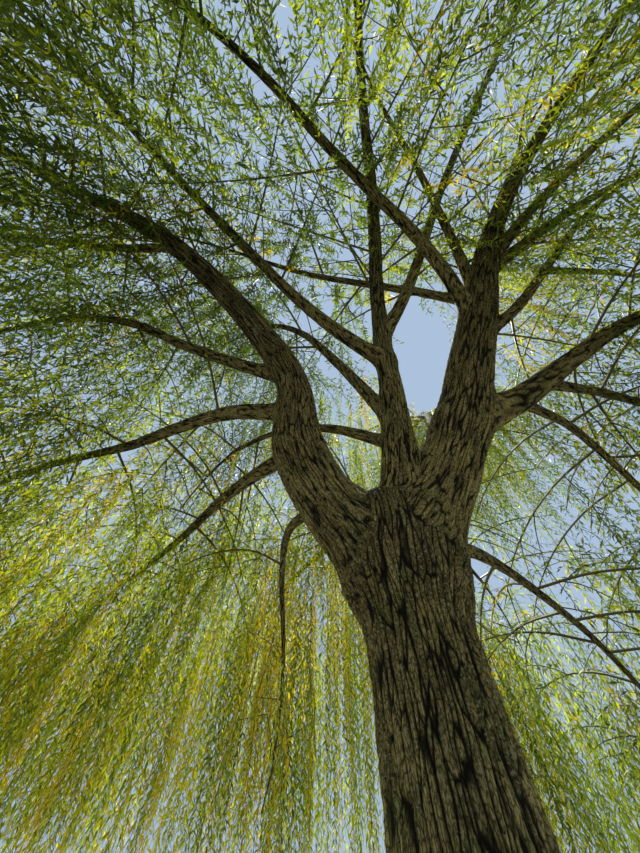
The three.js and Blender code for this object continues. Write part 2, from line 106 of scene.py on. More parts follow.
BOUGHS = [
    Bough("left", "trunk", 0.76, 9.8, (0.36, 0.37, 0.38, 0.245, 0.215, 0.19, 0.155, 0.12, 0.088, 0.055),
          (-106, -96, -172, -132, -128, -124, -112, -108, -130), (44, 52, 58, 42, 30, 20, 14, 8, -14),
          1.5, 2.1, "shade"),
    Bough("right", "trunk", 0.83, 10.4, (0.43, 0.395, 0.32, 0.17, 0.1, 0.05),
          (112, 150, 166, 150, 156), (50, 56, 42, 20, -12), 1.5, 2.7, "green"),
    Bough("middle", "trunk", 0.85, 10.0, (0.31, 0.19, 0.13, 0.115, 0.08, 0.045),
          (166, 190, 184, 193, 184), (60, 64, 42, 18, -10), 1.8, 2.7, "shade"),
    Bough("left_outer", "left", 0.66, 3.3, (0.075, 0.04),
          (-84, -92, -96), (14, -2, -26), 1.4, 1.9, "shade"),
    Bough("left_level", "left", 0.34, 5.7, (0.115, 0.08, 0.045),
          (-86, -104, -72), (34, 16, -18), 1.5, 1.9, "green"),
    Bough("left_low", "left", 0.28, 6.6, (0.13, 0.085, 0.045),
          (-84, -60, -74, -64), (18, 6, 2, -14), 1.8, 1.8, "gold"),
    Bough("left_back", "left", 0.22, 6.0, (0.12, 0.08, 0.045),
          (-44, -38, -52), (20, 6, -14), 1.9, 1.7, "gold"),
    Bough("hanging", "left", 0.13, 2.7, (0.08, 0.05, 0.035),
          (-50, -8, 10), (20, -4, -40), 1.1, 1.7, "gold"),
    Bough("left_inner", "middle", 0.14, 3.6, (0.09, 0.06, 0.04),
          (-80, -62, -48), (44, 30, 10), 1.7, 4.8, "green"),
    Bough("left_rising", "middle", 0.17, 5.0, (0.11, 0.075, 0.04),
          (-118, -104, -60), (60, 58, 40), 1.8, 6.0, "shade"),
    Bough("left_front", "middle", 0.29, 7.3, (0.125, 0.085, 0.04),
          (-106, -126, -130, -142), (40, 26, 14, -22), 1.4, 2.5, "shade"),
    Bough("front_right", "middle", 0.34, 6.8, (0.11, 0.08, 0.04),
          (140, 160, 158, 168), (46, 44, 24, -6), 1.4, 2.9, "green"),
    Bough("crossing", "right", 0.4, 7.2, (0.13, 0.085, 0.04),
          (-148, -126, -128, -108), (38, 16, 0, -18), 1.4, 2.6, "green"),
    Bough("upper_crossing", "right", 0.44, 4.1, (0.11, 0.075, 0.04),
          (-160, -150, -138), (48, 34, 14), 1.8, 6.6, "green"),
    Bough("back_crossing", "right", 0.44, 4.3, (0.085, 0.06, 0.035),
          (-98, -92, -104), (16, 14, 16), 1.5, 6.2, "shade"),
    Bough("top", "right", 0.51, 3.7, (0.11, 0.075, 0.035),
          (160, 150, 156), (52, 46, 34), 1.7, 7.2, "green"),
    Bough("right_front", "right", 0.51, 4.8, (0.11, 0.08, 0.04),
          (140, 134, 140), (36, 18, -10), 1.4, 2.8, "green"),
    Bough("right_upper", "right", 0.5, 4.9, (0.1, 0.07, 0.04),
          (124, 122, 100), (30, 14, -10), 1.4, 2.6, "green"),
    Bough("right_rising", "right", 0.36, 4.3, (0.105, 0.075, 0.04),
          (118, 142, 128), (26, 36, 12), 1.3, 6.2, "green"),
    Bough("right_forked", "right_rising", 0.46, 2.0, (0.06, 0.035),
          (92, 90, 84), (16, 0, -14), 1.2, 5.2, "green"),
    Bough("right_side", "right", 0.2, 6.6, (0.25, 0.15, 0.09, 0.045),
          (104, 120, 112, 106), (22, 30, 8, -14), 1.4, 2.2, "green"),
    Bough("right_level", "right_side", 0.24, 4.5, (0.08, 0.06, 0.04),
          (84, 76, 84), (12, -2, -16), 1.4, 1.9, "green"),
    Bough("right_drooping", "right_side", 0.16, 4.3, (0.075, 0.055, 0.04),
          (74, 52, 64), (12, -16, -20), 1.3, 1.7, "green"),
    Bough("low_right", "trunk", 0.88, 5.6, (0.105, 0.065, 0.04),
          (74, 50, 56, 48), (20, 12, -12, -18), 1.3, 1.7, "green"),
    Bough("back", "trunk", 0.88, 7.2, (0.23, 0.12, 0.045),
          (24, 8, 10, -2), (58, 48, 24, -12), 1.8, 1.7, "gold"),
    Bough("back_left", "back", 0.25, 5.4, (0.11, 0.075, 0.04),
          (-10, -28, -36), (34, 16, -14), 1.9, 1.6, "gold"),
    Bough("back_right", "back", 0.2, 5.6, (0.12, 0.08, 0.04),
          (38, 38, 46), (40, 22, -14), 1.9, 1.7, "green"),
    Bough("back_rising", "back", 0.18, 5.0, (0.11, 0.075, 0.04),
          (-20, -32, -36), (62, 56, 30), 1.9, 6.2, "gold"),
    Bough("crown", "right", 0.12, 6.3, (0.17, 0.11, 0.045),
          (60, 34, 10), (66, 70, 46), 1.9, 6.8, "green"),
]

# The masses of one quarter of the crown are joined, so that each piece stays a size tools can handle.
QUARTERS = {
    "left": ("left", "left_outer", "left_level", "left_low", "left_front"),
    "front": ("middle", "front_right", "crossing", "upper_crossing", "top", "back_crossing"),
    "right": ("right", "right_front", "right_upper", "right_rising", "right_forked", "right_side",
              "right_level", "right_drooping", "low_right"),
    "back": ("back", "back_left", "back_right", "back_rising", "left_back", "hanging"),
    "inner": ("left_inner", "left_rising", "crown"),
}

# How many sprays in a hundred of a mass take each colour of leaf. The dark "shade" leaves are partly real
# dark green leaves dealt out at random, and partly painted shade: the masses that stand in the crown's
# shade take mostly them.
TINTS = {
    "shade": {"shade": 64, "green": 28, "light": 6, "gold": 2},
    "green": {"shade": 24, "green": 46, "light": 24, "gold": 6},
    "gold": {"shade": 10, "green": 32, "light": 38, "gold": 20},
}


def linear(colour):
    """A colour written as sRGB hex, as the linear numbers that Blender takes."""
    parts = [int(colour[i:i + 2], 16) / 255 for i in (1, 3, 5)]
    return tuple(c / 12.92 if c <= 0.04045 else ((c + 0.055) / 1.055) ** 2.4 for c in parts)


class WillowLimbs(bpy.types.PropertyGroup):
    """Sizes of the trunk, the boughs and their bark."""

    trunk_height: FloatProperty(
        name="Trunk height", description="Height of the trunk up to its fork",
        default=4.5, unit="LENGTH")
    trunk_radius: FloatProperty(
        name="Trunk radius", description="Radius of the trunk between its root flare and its fork",
        default=0.47, unit="LENGTH")
    root_flare: FloatProperty(
        name="Root flare", description="How much wider the trunk is at the ground",
        default=0.25, unit="LENGTH")
    fork_swell: FloatProperty(
        name="Fork swell", description="How much wider the trunk is under its fork",
        default=0.13, unit="LENGTH")
    ridge_width: FloatProperty(
        name="Ridge width", description="Width of a bark ridge on the trunk",
        default=0.048, unit="LENGTH")
    ridge_depth: FloatProperty(
        name="Ridge depth", description="Depth of the furrows between the trunk's bark ridges",
        default=0.032, unit="LENGTH")


class WillowFoliage(bpy.types.PropertyGroup):
    """Numbers and sizes of the twigs and leaves."""

    shoots: IntProperty(
        name="Shoots", description="Arching shoots in each mass of foliage", default=15)
    branchlet_gap: FloatProperty(
        name="Side branch gap", description="Distance between the side branches along a bough",
        default=0.24, unit="LENGTH")
    branchlet_length: FloatProperty(
        name="Side branch length", description="Length of a usual side branch",
        default=2.1, unit="LENGTH")
    branchlet_radius: FloatProperty(
        name="Side branch radius", description="Radius of a side branch where it starts",
        default=0.017, unit="LENGTH")
    strand_gap: FloatProperty(
        name="Strand gap", description="Distance between the strands on a shoot or a side branch",
        default=0.13, unit="LENGTH")
    longest_strand: FloatProperty(
        name="Longest strand", description="How far the longest strands hang down",
        default=6.0, unit="LENGTH")
    twig_radius: FloatProperty(
        name="Twig radius", description="Radius of a hanging strand where it starts",
        default=0.004, unit="LENGTH")
    leaf_length: FloatProperty(
        name="Leaf length", description="Length of a full grown leaf",
        default=0.17, unit="LENGTH")
    leaf_width: FloatProperty(
        name="Leaf width", description="Width of a full grown leaf",
        default=0.04, unit="LENGTH")
    leaf_gap: FloatProperty(
        name="Leaf gap", description="Distance between the leaves on a strand",
        default=0.077, unit="LENGTH")


class WillowColours(bpy.types.PropertyGroup):
    """Colours of the bark, the twigs and the leaves."""

    ridge: FloatVectorProperty(
        name="Ridge", description="Weathered cork on the bark's ridges",
        subtype="COLOR", default=linear("#8f8051"))
    furrow: FloatVectorProperty(
        # Nearly black: the bark's own darker colour down in the furrows, and painted shade there as well.
        name="Furrow", description="Bark down in the furrows",
        subtype="COLOR", default=linear("#17110a"))
    lichen: FloatVectorProperty(
        name="Lichen", description="Thin green growth on the ridges",
        subtype="COLOR", default=linear("#6c6b3c"))
    fleck: FloatVectorProperty(
        name="Fleck", description="Pale scales of lichen and fresh cork",
        subtype="COLOR", default=linear("#b3ab88"))
    twig: FloatVectorProperty(
        name="Twig", description="Skin of the young twigs",
        subtype="COLOR", default=linear("#6d6232"))
    # Dark green leaves, and painted shade: the masses in the crown's shade take mostly these.
    shade: FloatVectorProperty(
        name="Shade leaf", description="Leaves that are still dark green",
        subtype="COLOR", default=linear("#55632b"))
    green: FloatVectorProperty(
        name="Green leaf", description="Leaves of the usual green",
        subtype="COLOR", default=linear("#788933"))
    light: FloatVectorProperty(
        name="Light leaf", description="Leaves turning yellow green",
        subtype="COLOR", default=linear("#b0b637"))
    gold: FloatVectorProperty(
        name="Gold leaf", description="Leaves in their autumn gold",
        subtype="COLOR", default=linear("#c6ab2d"))


class WillowStage(bpy.types.PropertyGroup):
    """The camera, the lights and the floor."""

    camera_place: FloatVectorProperty(
        name="Camera place", description="Where the photograph's camera stood",
        subtype="XYZ", unit="LENGTH", default=(-0.969, -2.903, 1.5))
    camera_pitch: FloatProperty(
        name="Camera pitch", description="How far the camera looks up from level",
        subtype="ANGLE", default=math.radians(59))
    camera_roll: FloatProperty(
        name="Camera roll", description="How far the camera is turned about its own line of sight",
        subtype="ANGLE", default=math.radians(3))
    lens: FloatProperty(
        name="Lens", description="Focal length on a 36 mm sensor", default=13.3, unit="CAMERA")
    floor_size: FloatProperty(
        name="Floor size", description="Side of the square floor", default=120.0, unit="LENGTH")
    key_strength: FloatProperty(
        name="Key strength", description="Strength of the high key light", default=7.2)
    key_softness: FloatProperty(
        name="Key softness", description="Angle that the key light fills in the sky",
        subtype="ANGLE", default=math.radians(6))
    key_colour: FloatVectorProperty(
        name="Key colour", description="Colour of the key light",
        subtype="COLOR", default=linear("#fffaf1"))
    fill_strength: FloatProperty(
        name="Fill strength", description="Strength of the light from all round", default=0.76)
    floor: FloatVectorProperty(
        name="Floor", description="Colour of the floor",
        subtype="COLOR", default=linear("#9e9e98"))
    backdrop: FloatVectorProperty(
        name="Backdrop", description="Colour of the backdrop and of the fill light",
        subtype="COLOR", default=linear("#c3dbf8"))


# Lines, directions and scattered numbers

CURVE_STEPS = 8
# Large odd numbers that share no pattern, so that neighbouring cells get numbers with no order.
CELL_FACTORS = (73856093, 19349663, 83492791)
SALT_FACTOR = 2654435761
MIX_FACTOR = 1274126177
LOW_BITS = 0xFFFFFFFF


def direction(heading, rise):
    """Unit vectors for a heading and a rise in degrees."""
    heading = np.radians(heading)
    rise = np.radians(rise)
    flat = np.cos(rise)
    return np.stack([np.sin(heading) * flat, np.cos(heading) * flat, np.sin(rise)], -1)


def unit(vectors):
    """Vectors brought to a length of 1."""
    return vectors / np.maximum(np.linalg.norm(vectors, axis=-1, keepdims=True), 1e-9)


def along(values, share):
    """A value read evenly along a short list, for a share from 0 to 1."""
    return np.interp(np.multiply(share, len(values) - 1), range(len(values)), values)


def point_along(line, share):
    """Points on a line of points, for a share of its length."""
    return np.stack([along(line[:, axis], share) for axis in range(3)], -1)


def lengths_along(line):
    """How far along the line each of its points is."""
    steps = np.linalg.norm(np.diff(line, axis=0), axis=1)
    return np.concatenate([[0.0], np.cumsum(steps)])


def read_along(values, reached, lengths):
    """A line's points or directions at some lengths along it, from their values where it is known."""
    return np.stack([np.interp(lengths, reached, values[:, axis]) for axis in range(3)], -1)


def smooth_line(knots, gap, crowding=1.0):
    """A smooth curve through the knots, with points about a gap apart, or closer near its start."""
    ends = np.vstack([2 * knots[0] - knots[1], knots, 2 * knots[-1] - knots[-2]])
    before, start, end, after = ends[:-3], ends[1:-2], ends[2:-1], ends[3:]
    t = np.linspace(0, 1, CURVE_STEPS + 1)[:-1, None, None]
    curve = 0.5 * (2 * start + (end - before) * t
                   + (2 * before - 5 * start + 4 * end - after) * t ** 2
                   + (3 * start - before - 3 * end + after) * t ** 3)
    curve = np.vstack([curve.transpose(1, 0, 2).reshape(-1, 3), knots[-1:]])
    reached = lengths_along(curve)
    shares = np.linspace(0, 1, max(2, math.ceil(reached[-1] / gap)) + 1)
    return read_along(curve, reached, reached[-1] * shares ** crowding)


def eased(share):
    """A share from 0 to 1, changed so that it starts and ends gently."""
    return share * share * (3 - 2 * share)


def scattered(cells, salt):
    """A number from 0 to 1 for each cell of a grid, with no order between neighbours."""
    x, y, z = (cells[..., axis] * factor for axis, factor in enumerate(CELL_FACTORS))
    mixed = (x ^ y ^ z ^ (salt * SALT_FACTOR)) & LOW_BITS
    mixed = ((mixed ^ (mixed >> 13)) * MIX_FACTOR) & LOW_BITS
    return (mixed ^ (mixed >> 16)) / 2 ** 32


def noise(places, salt):
    """Smooth noise from 0 to 1 with a wavelength of about 2."""
    cell = np.floor(places).astype(np.int64)
    share = eased(places - cell)
    total = np.zeros(places.shape[:-1])
    for corner in np.ndindex(2, 2, 2):
        weight = np.prod(np.where(corner, share, 1 - share), axis=-1)
        total += weight * scattered(cell + corner, salt)
    return total


def gap_to_border(places, scale, salt):
    """How far each place is from the border of its cell, in a Voronoi pattern drawn out to a scale."""
    places = places / scale
    home = np.floor(places).astype(np.int64)
    seeds = []
    for step in np.ndindex(3, 3, 3):
        cell = home + np.array(step) - 1
        seeds.append(cell + np.stack([scattered(cell, salt + axis) for axis in range(3)], -1))
    nearest = np.full(places.shape[:-1], np.inf)
    own = np.zeros_like(places)
    for seed in seeds:
        away = np.linalg.norm(places - seed, axis=-1)
        closer = away < nearest
        nearest[closer] = away[closer]
        own[closer] = seed[closer]
    gap = np.full(places.shape[:-1], np.inf)
    for seed in seeds:
        between = seed - own
        length = np.linalg.norm(between / scale, axis=-1)
        other = length > 0
        inside = (((own + seed) / 2 - places) * between).sum(-1)
        gap[other] = np.minimum(gap[other], inside[other] / length[other])
    return gap


# The limbs


@dataclass(frozen=True)
class Limb:
    """A limb's smooth middle line, with its radius and how far along it each point is."""

    name: str
    line: np.ndarray
    radius: np.ndarray
    reached: np.ndarray


LIMB_GAP = 0.05
LEADER_STEP = 0.36
LEADER_STEPS = 4
LEADER_DROOP = 15.0
LEADER_END = 0.007
LEADER_TAPER = 0.8


def trunk_radius(height, angle):
    """The trunk's radius: flared in lobes at the root, swollen under the fork and domed over it."""
    sizes = bpy.context.scene.willow_limbs
    flare = np.exp(-height / ROOT_FLARE_HEIGHT)
    lobes = 1 + ROOT_LOBE_DEPTH * flare * np.cos(ROOT_LOBES * angle)
    swell = np.exp(-((height - FORK_HEIGHT) / FORK_SWELL_DEPTH) ** 2)
    wide = 1 + FORK_WIDENING * swell * np.cos(2 * angle)
    past = np.maximum(0, (height - FORK_HEIGHT) / (sizes.trunk_height - FORK_HEIGHT))
    dome = 1 - (1 - FORK_DOME) * past * past
    plain = sizes.trunk_radius + sizes.root_flare * flare + sizes.fork_swell * swell
    return plain * lobes * wide * dome


def bough_line(bough, start):
    """A bough's middle line up to its tip, stepped out along its headings and rises."""
    steps = max(3, round(bough.length / BOUGH_STEP))
    shares = (np.arange(steps) + 0.5) / steps
    ahead = direction(along(bough.heading, shares), along(bough.rise, shares))
    return start + np.vstack([np.zeros(3), np.cumsum(ahead, axis=0)]) * bough.length / steps


def leader_line(bough, tip):
    """The line that carries a bough on into its mass of foliage, drooping more and more."""
    stem = [(STEM_LENGTH / 2, bough.rise[-1] - i * STEM_DROOP) for i in (1, 2)]
    rest = [(LEADER_STEP, stem[-1][1] - i * LEADER_DROOP) for i in range(1, LEADER_STEPS + 1)]
    steps = [length * direction(bough.heading[-1], rise) for length, rise in stem + rest]
    return tip + np.cumsum(steps, axis=0)


def bough_radius(bough, reached):
    """A bough tapers all the way, from a collar at its foot to the thin end of its leader."""
    body = along(bough.radius, np.clip(reached / bough.length, 0, 1))
    body = body * (1 + COLLAR_SWELL * np.exp(-reached / COLLAR_LENGTH))
    past = np.clip((reached - bough.length) / (reached[-1] - bough.length), 0, 1)
    return body + (LEADER_END - body) * past ** LEADER_TAPER


@lru_cache(maxsize=None)
def limbs():
    """All limbs by name, the trunk first."""
    sizes = bpy.context.scene.willow_limbs
    lean = direction(TRUNK_HEADING, 90 - TRUNK_LEAN)
    trunk = np.stack([np.zeros(3), lean * sizes.trunk_height / lean[2]])
    lines = {"trunk": trunk}
    height = np.linspace(0, sizes.trunk_height, math.ceil(sizes.trunk_height / LIMB_GAP) + 1)
    radius = trunk_radius(height, np.pi / 4)
    grown = {"trunk": Limb("trunk", point_along(trunk, height / height[-1]), radius, height)}
    for bough in BOUGHS:
        line = bough_line(bough, point_along(lines[bough.on], bough.at))
        lines[bough.name] = line
        smooth = smooth_line(np.vstack([line, leader_line(bough, line[-1])]), LIMB_GAP)
        reached = lengths_along(smooth)
        grown[bough.name] = Limb(bough.name, smooth, bough_radius(bough, reached), reached)
    return grown


@lru_cache(maxsize=None)
def tips():
    """Where each bough enters its mass of foliage."""
    found = {}
    for bough in BOUGHS:
        limb = limbs()[bough.name]
        found[bough.name] = limb.line[np.searchsorted(limb.reached, bough.length)]
    return found


# Bark

# Metres between the rows of the bark's mesh, and its sides. They are finer on limbs seen from close by.
BARK_ROWS = {"trunk": 0.0175, "left": 0.028, "right": 0.028, "middle": 0.032}
BARK_SIDES = {"trunk": 384, "left": 208, "right": 208, "middle": 120}
OTHER_ROWS = 0.06
OTHER_SIDES = 30
# How far wood grows over a fork, as a share of the thinner limb's radius.
FORK_BLEND = 0.95
# Ridges are longer than they are wide, and furrows take this share of a ridge's width at each side of it.
RIDGE_STRETCH = 11.0
FURROW_SHARE = 0.25
FURROW_LEAST = 0.6
FURROW_SPREAD = 0.9
FURROW_SCALE = (2.5, 2.5, 0.6)
# Ridges wander sideways, and are broken into plates of uneven height.
WARP = 0.9
WARP_SCALE = (1.6, 1.6, 0.45)
PLATE_LEAST = 0.5
PLATE_SCALE = (0.3, 0.3, 0.8)
WARP_SALTS = (11, 12)
FURROW_SALT = 13
RIDGE_SALT = 21
PLATE_SALT = 31
# Thinner limbs have finer and shallower ridges, down to this share of the trunk's radius.
THINNEST_SHARE = 0.12
RIDGE_POWER = 0.7
FULL_DEPTH_WIDTHS = 4
# The height of the bark that keeps the limb's own radius.
RELIEF_LEVEL = 0.8
CAP_MAP = 0.02


def ring_frames(line):
    """For each point of a line, two directions square to it that don't twist as it bends."""
    ahead = unit(np.gradient(line, axis=0))
    across = np.empty_like(ahead)
    side = np.eye(3)[0 if abs(ahead[0, 0]) < 0.9 else 1]
    for i, way in enumerate(ahead):
        side = unit(side - way * (side @ way))
        across[i] = side
    return across, np.cross(ahead, across)


def grid_normals(grid):
    """The ways out of a tube, for the grid of points on it."""
    return unit(np.cross(np.roll(grid, -1, 1) - np.roll(grid, 1, 1), np.gradient(grid, axis=0)))


def distance_to(limb, places):
    """How far each place is outside a limb, and the way out of the limb and its radius there."""
    top = limb.line[-1, 2]
    radius = np.minimum(limb.radius, top - limb.line[:, 2]) if limb.name == "trunk" else limb.radius
    best = np.full(len(places), np.inf)
    at = np.zeros(len(places), int)
    for i, (centre, size) in enumerate(zip(limb.line, radius)):
        away = np.linalg.norm(places - centre, axis=1) - size
        closer = away < best
        best[closer] = away[closer]
        at[closer] = i
    return best, unit(places - limb.line[at]), radius[at]


def in_box_round(line, places, margin):
    """Which places lie in the box round a line, widened by a margin."""
    return ((places > line.min(0) - margin) & (places < line.max(0) + margin)).all(1)


def swollen_at_forks(limb, grid, radius):
    """A limb's surface, moved out round its forks as wood grows over them."""
    places = grid.reshape(-1, 3)
    normals = grid_normals(grid).reshape(-1, 3)
    size = np.repeat(radius, grid.shape[1])
    moved = np.zeros_like(places)
    for other in limbs().values():
        if other.name == limb.name:
            continue
        reach = FORK_BLEND * min(limb.radius.max(), other.radius.max())
        near = in_box_round(other.line, places, reach + other.radius.max())
        if near.any():
            gap, out, other_size = distance_to(other, places[near])
            blend = FORK_BLEND * np.minimum(size[near], other_size)
            swell = np.maximum(blend - np.abs(gap), 0) ** 2 / (4 * blend)
            share = np.clip(0.5 + 0.5 * gap / blend, 0, 1)[:, None]
            moved[near] += swell[:, None] * unit(share * normals[near] + (1 - share) * out)
    return (places + moved).reshape(grid.shape)


def bark_relief(place, width):
    """The bark's height from 0 in the furrows to 1 on the ridges, for places in a limb's own frame."""
    scale = np.array([1, 1, RIDGE_STRETCH]) * width
    bends = np.stack([noise(place / (scale * WARP_SCALE), salt) for salt in WARP_SALTS], -1) - 0.5
    bent = place + np.concatenate([bends * WARP * width, np.zeros_like(bends[..., :1])], -1)
    wide = FURROW_LEAST + FURROW_SPREAD * noise(place / (scale * FURROW_SCALE), FURROW_SALT)
    furrow = width * FURROW_SHARE * wide
    ridge = eased(np.clip(gap_to_border(bent, scale, RIDGE_SALT) / furrow, 0, 1))
    plates = noise(place / (np.array(PLATE_SCALE) * width), PLATE_SALT)
    return ridge * (PLATE_LEAST + (1 - PLATE_LEAST) * plates)


def limb_grid(limb):
    """A limb's bark as a grid of points, with the relief and the place in the limb's frame for each."""
    rows = BARK_ROWS.get(limb.name, OTHER_ROWS)
    sides = BARK_SIDES.get(limb.name, OTHER_SIDES)
    reached = np.linspace(0, limb.reached[-1], math.ceil(limb.reached[-1] / rows) + 1)
    line = read_along(limb.line, limb.reached, reached)
    angle = np.linspace(0, 2 * np.pi, sides, endpoint=False)
    if limb.name == "trunk":
        across = np.tile([1.0, 0.0, 0.0], (len(line), 1))
        side = np.tile([0.0, 1.0, 0.0], (len(line), 1))
        radius = trunk_radius(reached[:, None], angle[None, :])
    else:
        across, side = ring_frames(line)
        radius = np.interp(reached, limb.reached, limb.radius)[:, None] * np.ones(sides)
    ring = np.stack([np.cos(angle), np.sin(angle)], -1)
    flat = radius[..., None] * ring
    grid = line[:, None] + flat[..., :1] * across[:, None] + flat[..., 1:] * side[:, None]
    place = np.concatenate([flat, np.broadcast_to(reached[:, None, None], radius.shape + (1,))], -1)
    grid = swollen_at_forks(limb, grid, radius.mean(1))
    sizes = bpy.context.scene.willow_limbs
    share = np.clip(radius / sizes.trunk_radius, THINNEST_SHARE, 1) ** RIDGE_POWER
    width = sizes.ridge_width * float(share.max())
    relief = bark_relief(place, width)
    depth = sizes.ridge_depth * share * np.clip(radius / (FULL_DEPTH_WIDTHS * width), 0, 1)
    grid = grid + grid_normals(grid) * ((relief - RELIEF_LEVEL) * depth)[..., None]
    grid[..., 2] = np.maximum(grid[..., 2], 0)
    return grid, relief, place


def grid_faces(rows, sides):
    """Four-cornered faces between neighbours of a closed tube's grid, facing out."""
    here = np.arange(rows * sides).reshape(rows, sides)
    after = np.roll(here, -1, 1)
    return np.stack([here[:-1], after[:-1], after[1:], here[1:]], -1).reshape(-1, 4)


def mesh_from(name, places, faces):
    """A mesh from an array of places and arrays of faces, each with its own number of corners."""
    mesh = bpy.data.meshes.new(name)
    corners = np.concatenate([kind.ravel() for kind in faces]).astype(np.int32)
    counts = np.concatenate([np.full(len(kind), kind.shape[1]) for kind in faces]).astype(np.int32)
    mesh.vertices.add(len(places))
    mesh.vertices.foreach_set("co", np.asarray(places, np.float32).ravel())
    mesh.loops.add(len(corners))
    mesh.loops.foreach_set("vertex_index", corners)
    mesh.polygons.add(len(counts))
    starts = np.concatenate([[0], np.cumsum(counts)[:-1]]).astype(np.int32)
    mesh.polygons.foreach_set("loop_start", starts)
    mesh.update(calc_edges=True)
    mesh.validate()
    return mesh


def add_values(mesh, name, kind, field, values):
    """Stores a number or a vector for each point of a mesh."""
    attribute = mesh.attributes.new(name, kind, "POINT")
    attribute.data.foreach_set(field, np.asarray(values, np.float32).ravel())


def add_map(mesh, places):
    """Lays the corners of a mesh on a flat map, for whatever is painted onto it later."""
    layer = mesh.uv_layers.new(name="OFBake")
    layer.uv.foreach_set("vector", np.asarray(places, np.float32).ravel())


def limb_piece(limb, material):
    """The bark of one limb, closed at both ends."""
    grid, relief, place = limb_grid(limb)
    rows, sides = relief.shape
    ends = np.stack([grid[0].mean(0), grid[-1].mean(0)])
    first, last = rows * sides, rows * sides + 1
    ring = np.arange(sides)
    foot = np.stack([np.roll(ring, -1), ring, np.full(sides, first)], -1)
    tip = np.stack([ring, np.roll(ring, -1), np.full(sides, 0)], -1) + (rows - 1) * sides
    tip[:, 2] = last
    mesh = mesh_from(f"{limb.name}_bark", np.vstack([grid.reshape(-1, 3), ends]),
                     [grid_faces(rows, sides), np.vstack([foot, tip])])
    add_values(mesh, "ridge", "FLOAT", "value", np.append(relief.ravel(), [0.5, 0.5]))
    ends = np.stack([place[0].mean(0), place[-1].mean(0)])
    add_values(mesh, "bark_place", "FLOAT_VECTOR", "vector", np.vstack([place.reshape(-1, 3), ends]))
    row, side = np.divmod(np.arange((rows - 1) * sides), sides)
    square = np.array([[0, 0], [1, 0], [1, 1], [0, 1]])
    wall = (np.stack([side, row], -1)[:, None] + square) / [sides, rows - 1]
    wall[..., 1] = CAP_MAP + wall[..., 1] * (1 - 2 * CAP_MAP)
    low = np.stack([(ring + 1) / sides, ring / sides, (ring + 0.5) / sides], -1)
    high = low[:, [1, 0, 2]]
    low = np.stack([low, np.tile([CAP_MAP, CAP_MAP, 0], (sides, 1))], -1)
    high = np.stack([high, np.tile([1 - CAP_MAP, 1 - CAP_MAP, 1], (sides, 1))], -1)
    add_map(mesh, np.concatenate([wall.reshape(-1, 2), low.reshape(-1, 2), high.reshape(-1, 2)]))
    mesh.polygons.foreach_set("use_smooth", np.ones(len(mesh.polygons), bool))
    mesh.materials.append(material)
    return bpy.data.objects.new(mesh.name, mesh)


# Twigs and leaves


@dataclass(frozen=True)
class Strand:
    """A twig: its line from root to tip, its radius at the root, its tint and where its leaves start."""

    line: np.ndarray
    radius: float
    tint: str
    bare: float


# Pairs in brackets are the least and the most of what is drawn by chance. Turns and rises are in degrees.
TWIG_SIDES = 3
TWIG_TIP = 0.3
# The share of each kind of twig, from its root, that has no leaves, up to a length.
BARE_STRAND = 0.1
BARE_SHOOT = 0.3
BARE_BRANCH = 0.4
LONGEST_BARE = 1.5
# How near twigs come to the walls of their mass's space, to the part's own top and to limbs. Limbs are
# looked for this far round a twig, at every fourth point of their lines.
WALL_MARGIN = 0.05
TOP_MARGIN = 0.05
LIMB_MARGIN = 0.03
LIMB_SEARCH = 0.7
KNOT_STEP = 4
# Any hanging twig: metres between the points of its line, closer near its root, and how it sways.
STRAND_STEP = 1.1
STRAND_CROWDING = 1.5
SWAY = 0.05
SWAY_STEP = 0.9
SHORTEST_DROP = 0.2
RAGGED_FOOT = 0.7
# The strands on a shoot or a side branch. Gaps and arches are shares of the usual gap and of the reach.
STRAND_START = 0.2
STRAND_TURNS = (20, 100)
STRAND_REACHES = (0.1, 0.5)
STRAND_ARCHES = (0.1, 0.4)
STRAND_GAPS = (0.6, 1.4)
SHORTEST_STRAND = 0.6
# Strands are shorter than the longest by up to this share, most of them by little.
SHORTENING = 0.7
SHORTENING_POWER = 1.7
# The share of a spray's strands that take the spray's own tint.
SPRAY_SHARE = 0.7
# The shoots that spread from a leader stand on this share of it, and the later ones reach further. Each
# carries strands along its first part, this many times as long as its reach.
SHOOTS_END = 0.85
SHOOT_SPAN = 2.2
FIRST_SHOOT = 0.6
SHOOT_REACHES = (0.75, 1.1)
SHOOT_ARCHES = (0.4, 1.2)
SHOOT_THICKNESS = 2
ARCH_HEIGHT = 0.5
TWIG_SPREAD = 40.0
# The side branches along a bough, which start at this share of it. Lengths and thicknesses come first for
# the short ones, and then for the long ones that branch again.
BARE_SHARE = 0.2
BRANCH_LENGTHS = ((0.5, 1.1), (1.2, 1.75))
BRANCH_THICKNESS = (0.8, 1.6)
BRANCH_TURNS = (25, 95)
BRANCH_RISES = (0, 50)
BRANCH_GAPS = (0.7, 1.3)
BOUGH_RISE_SHARE = 0.4
BRANCHLET_KNOTS = 4
BRANCHLET_STEP = 0.25
BRANCHLET_DROOP = 60.0
# The finer branches on a long side branch.
FINE_BRANCH_GAP = 0.4
FINE_BRANCH_LENGTHS = (0.35, 0.6)
FINE_BRANCH_TURNS = (25, 80)
FINE_BRANCH_RISES = (0, 40)
FINE_BRANCH_THICKNESS = 0.5
# Under the crown a space stays open, wider on the trunk's front, so distances are taken from this place.
OPEN_CENTRE = (-0.6, -1.8)
# How low strands hang at some distances from there: high over the trunk's foot, and low outside.
FLOOR_DISTANCES = (2.0, 4.0, 5.4, 6.9)
FLOOR_HEIGHTS = (7.6, 6.6, 4.4, 1.6)
# Metres of strands over a square metre of ground at some distances from the thinnest place. The crown's
# left half, from -X up to FULL_SIDE_ENDS, is the fuller. The ground is counted in small squares.
SQUARE = 0.5
THIN_CENTRE = (-1.2, -4.2)
FULL_DISTANCES = (1.6, 4.0, 5.8)
FULLNESS = {"left": (38.0, 104.0, 104.0), "right": (42.0, 88.0, 90.0)}
FULL_SIDE_ENDS = 1.5
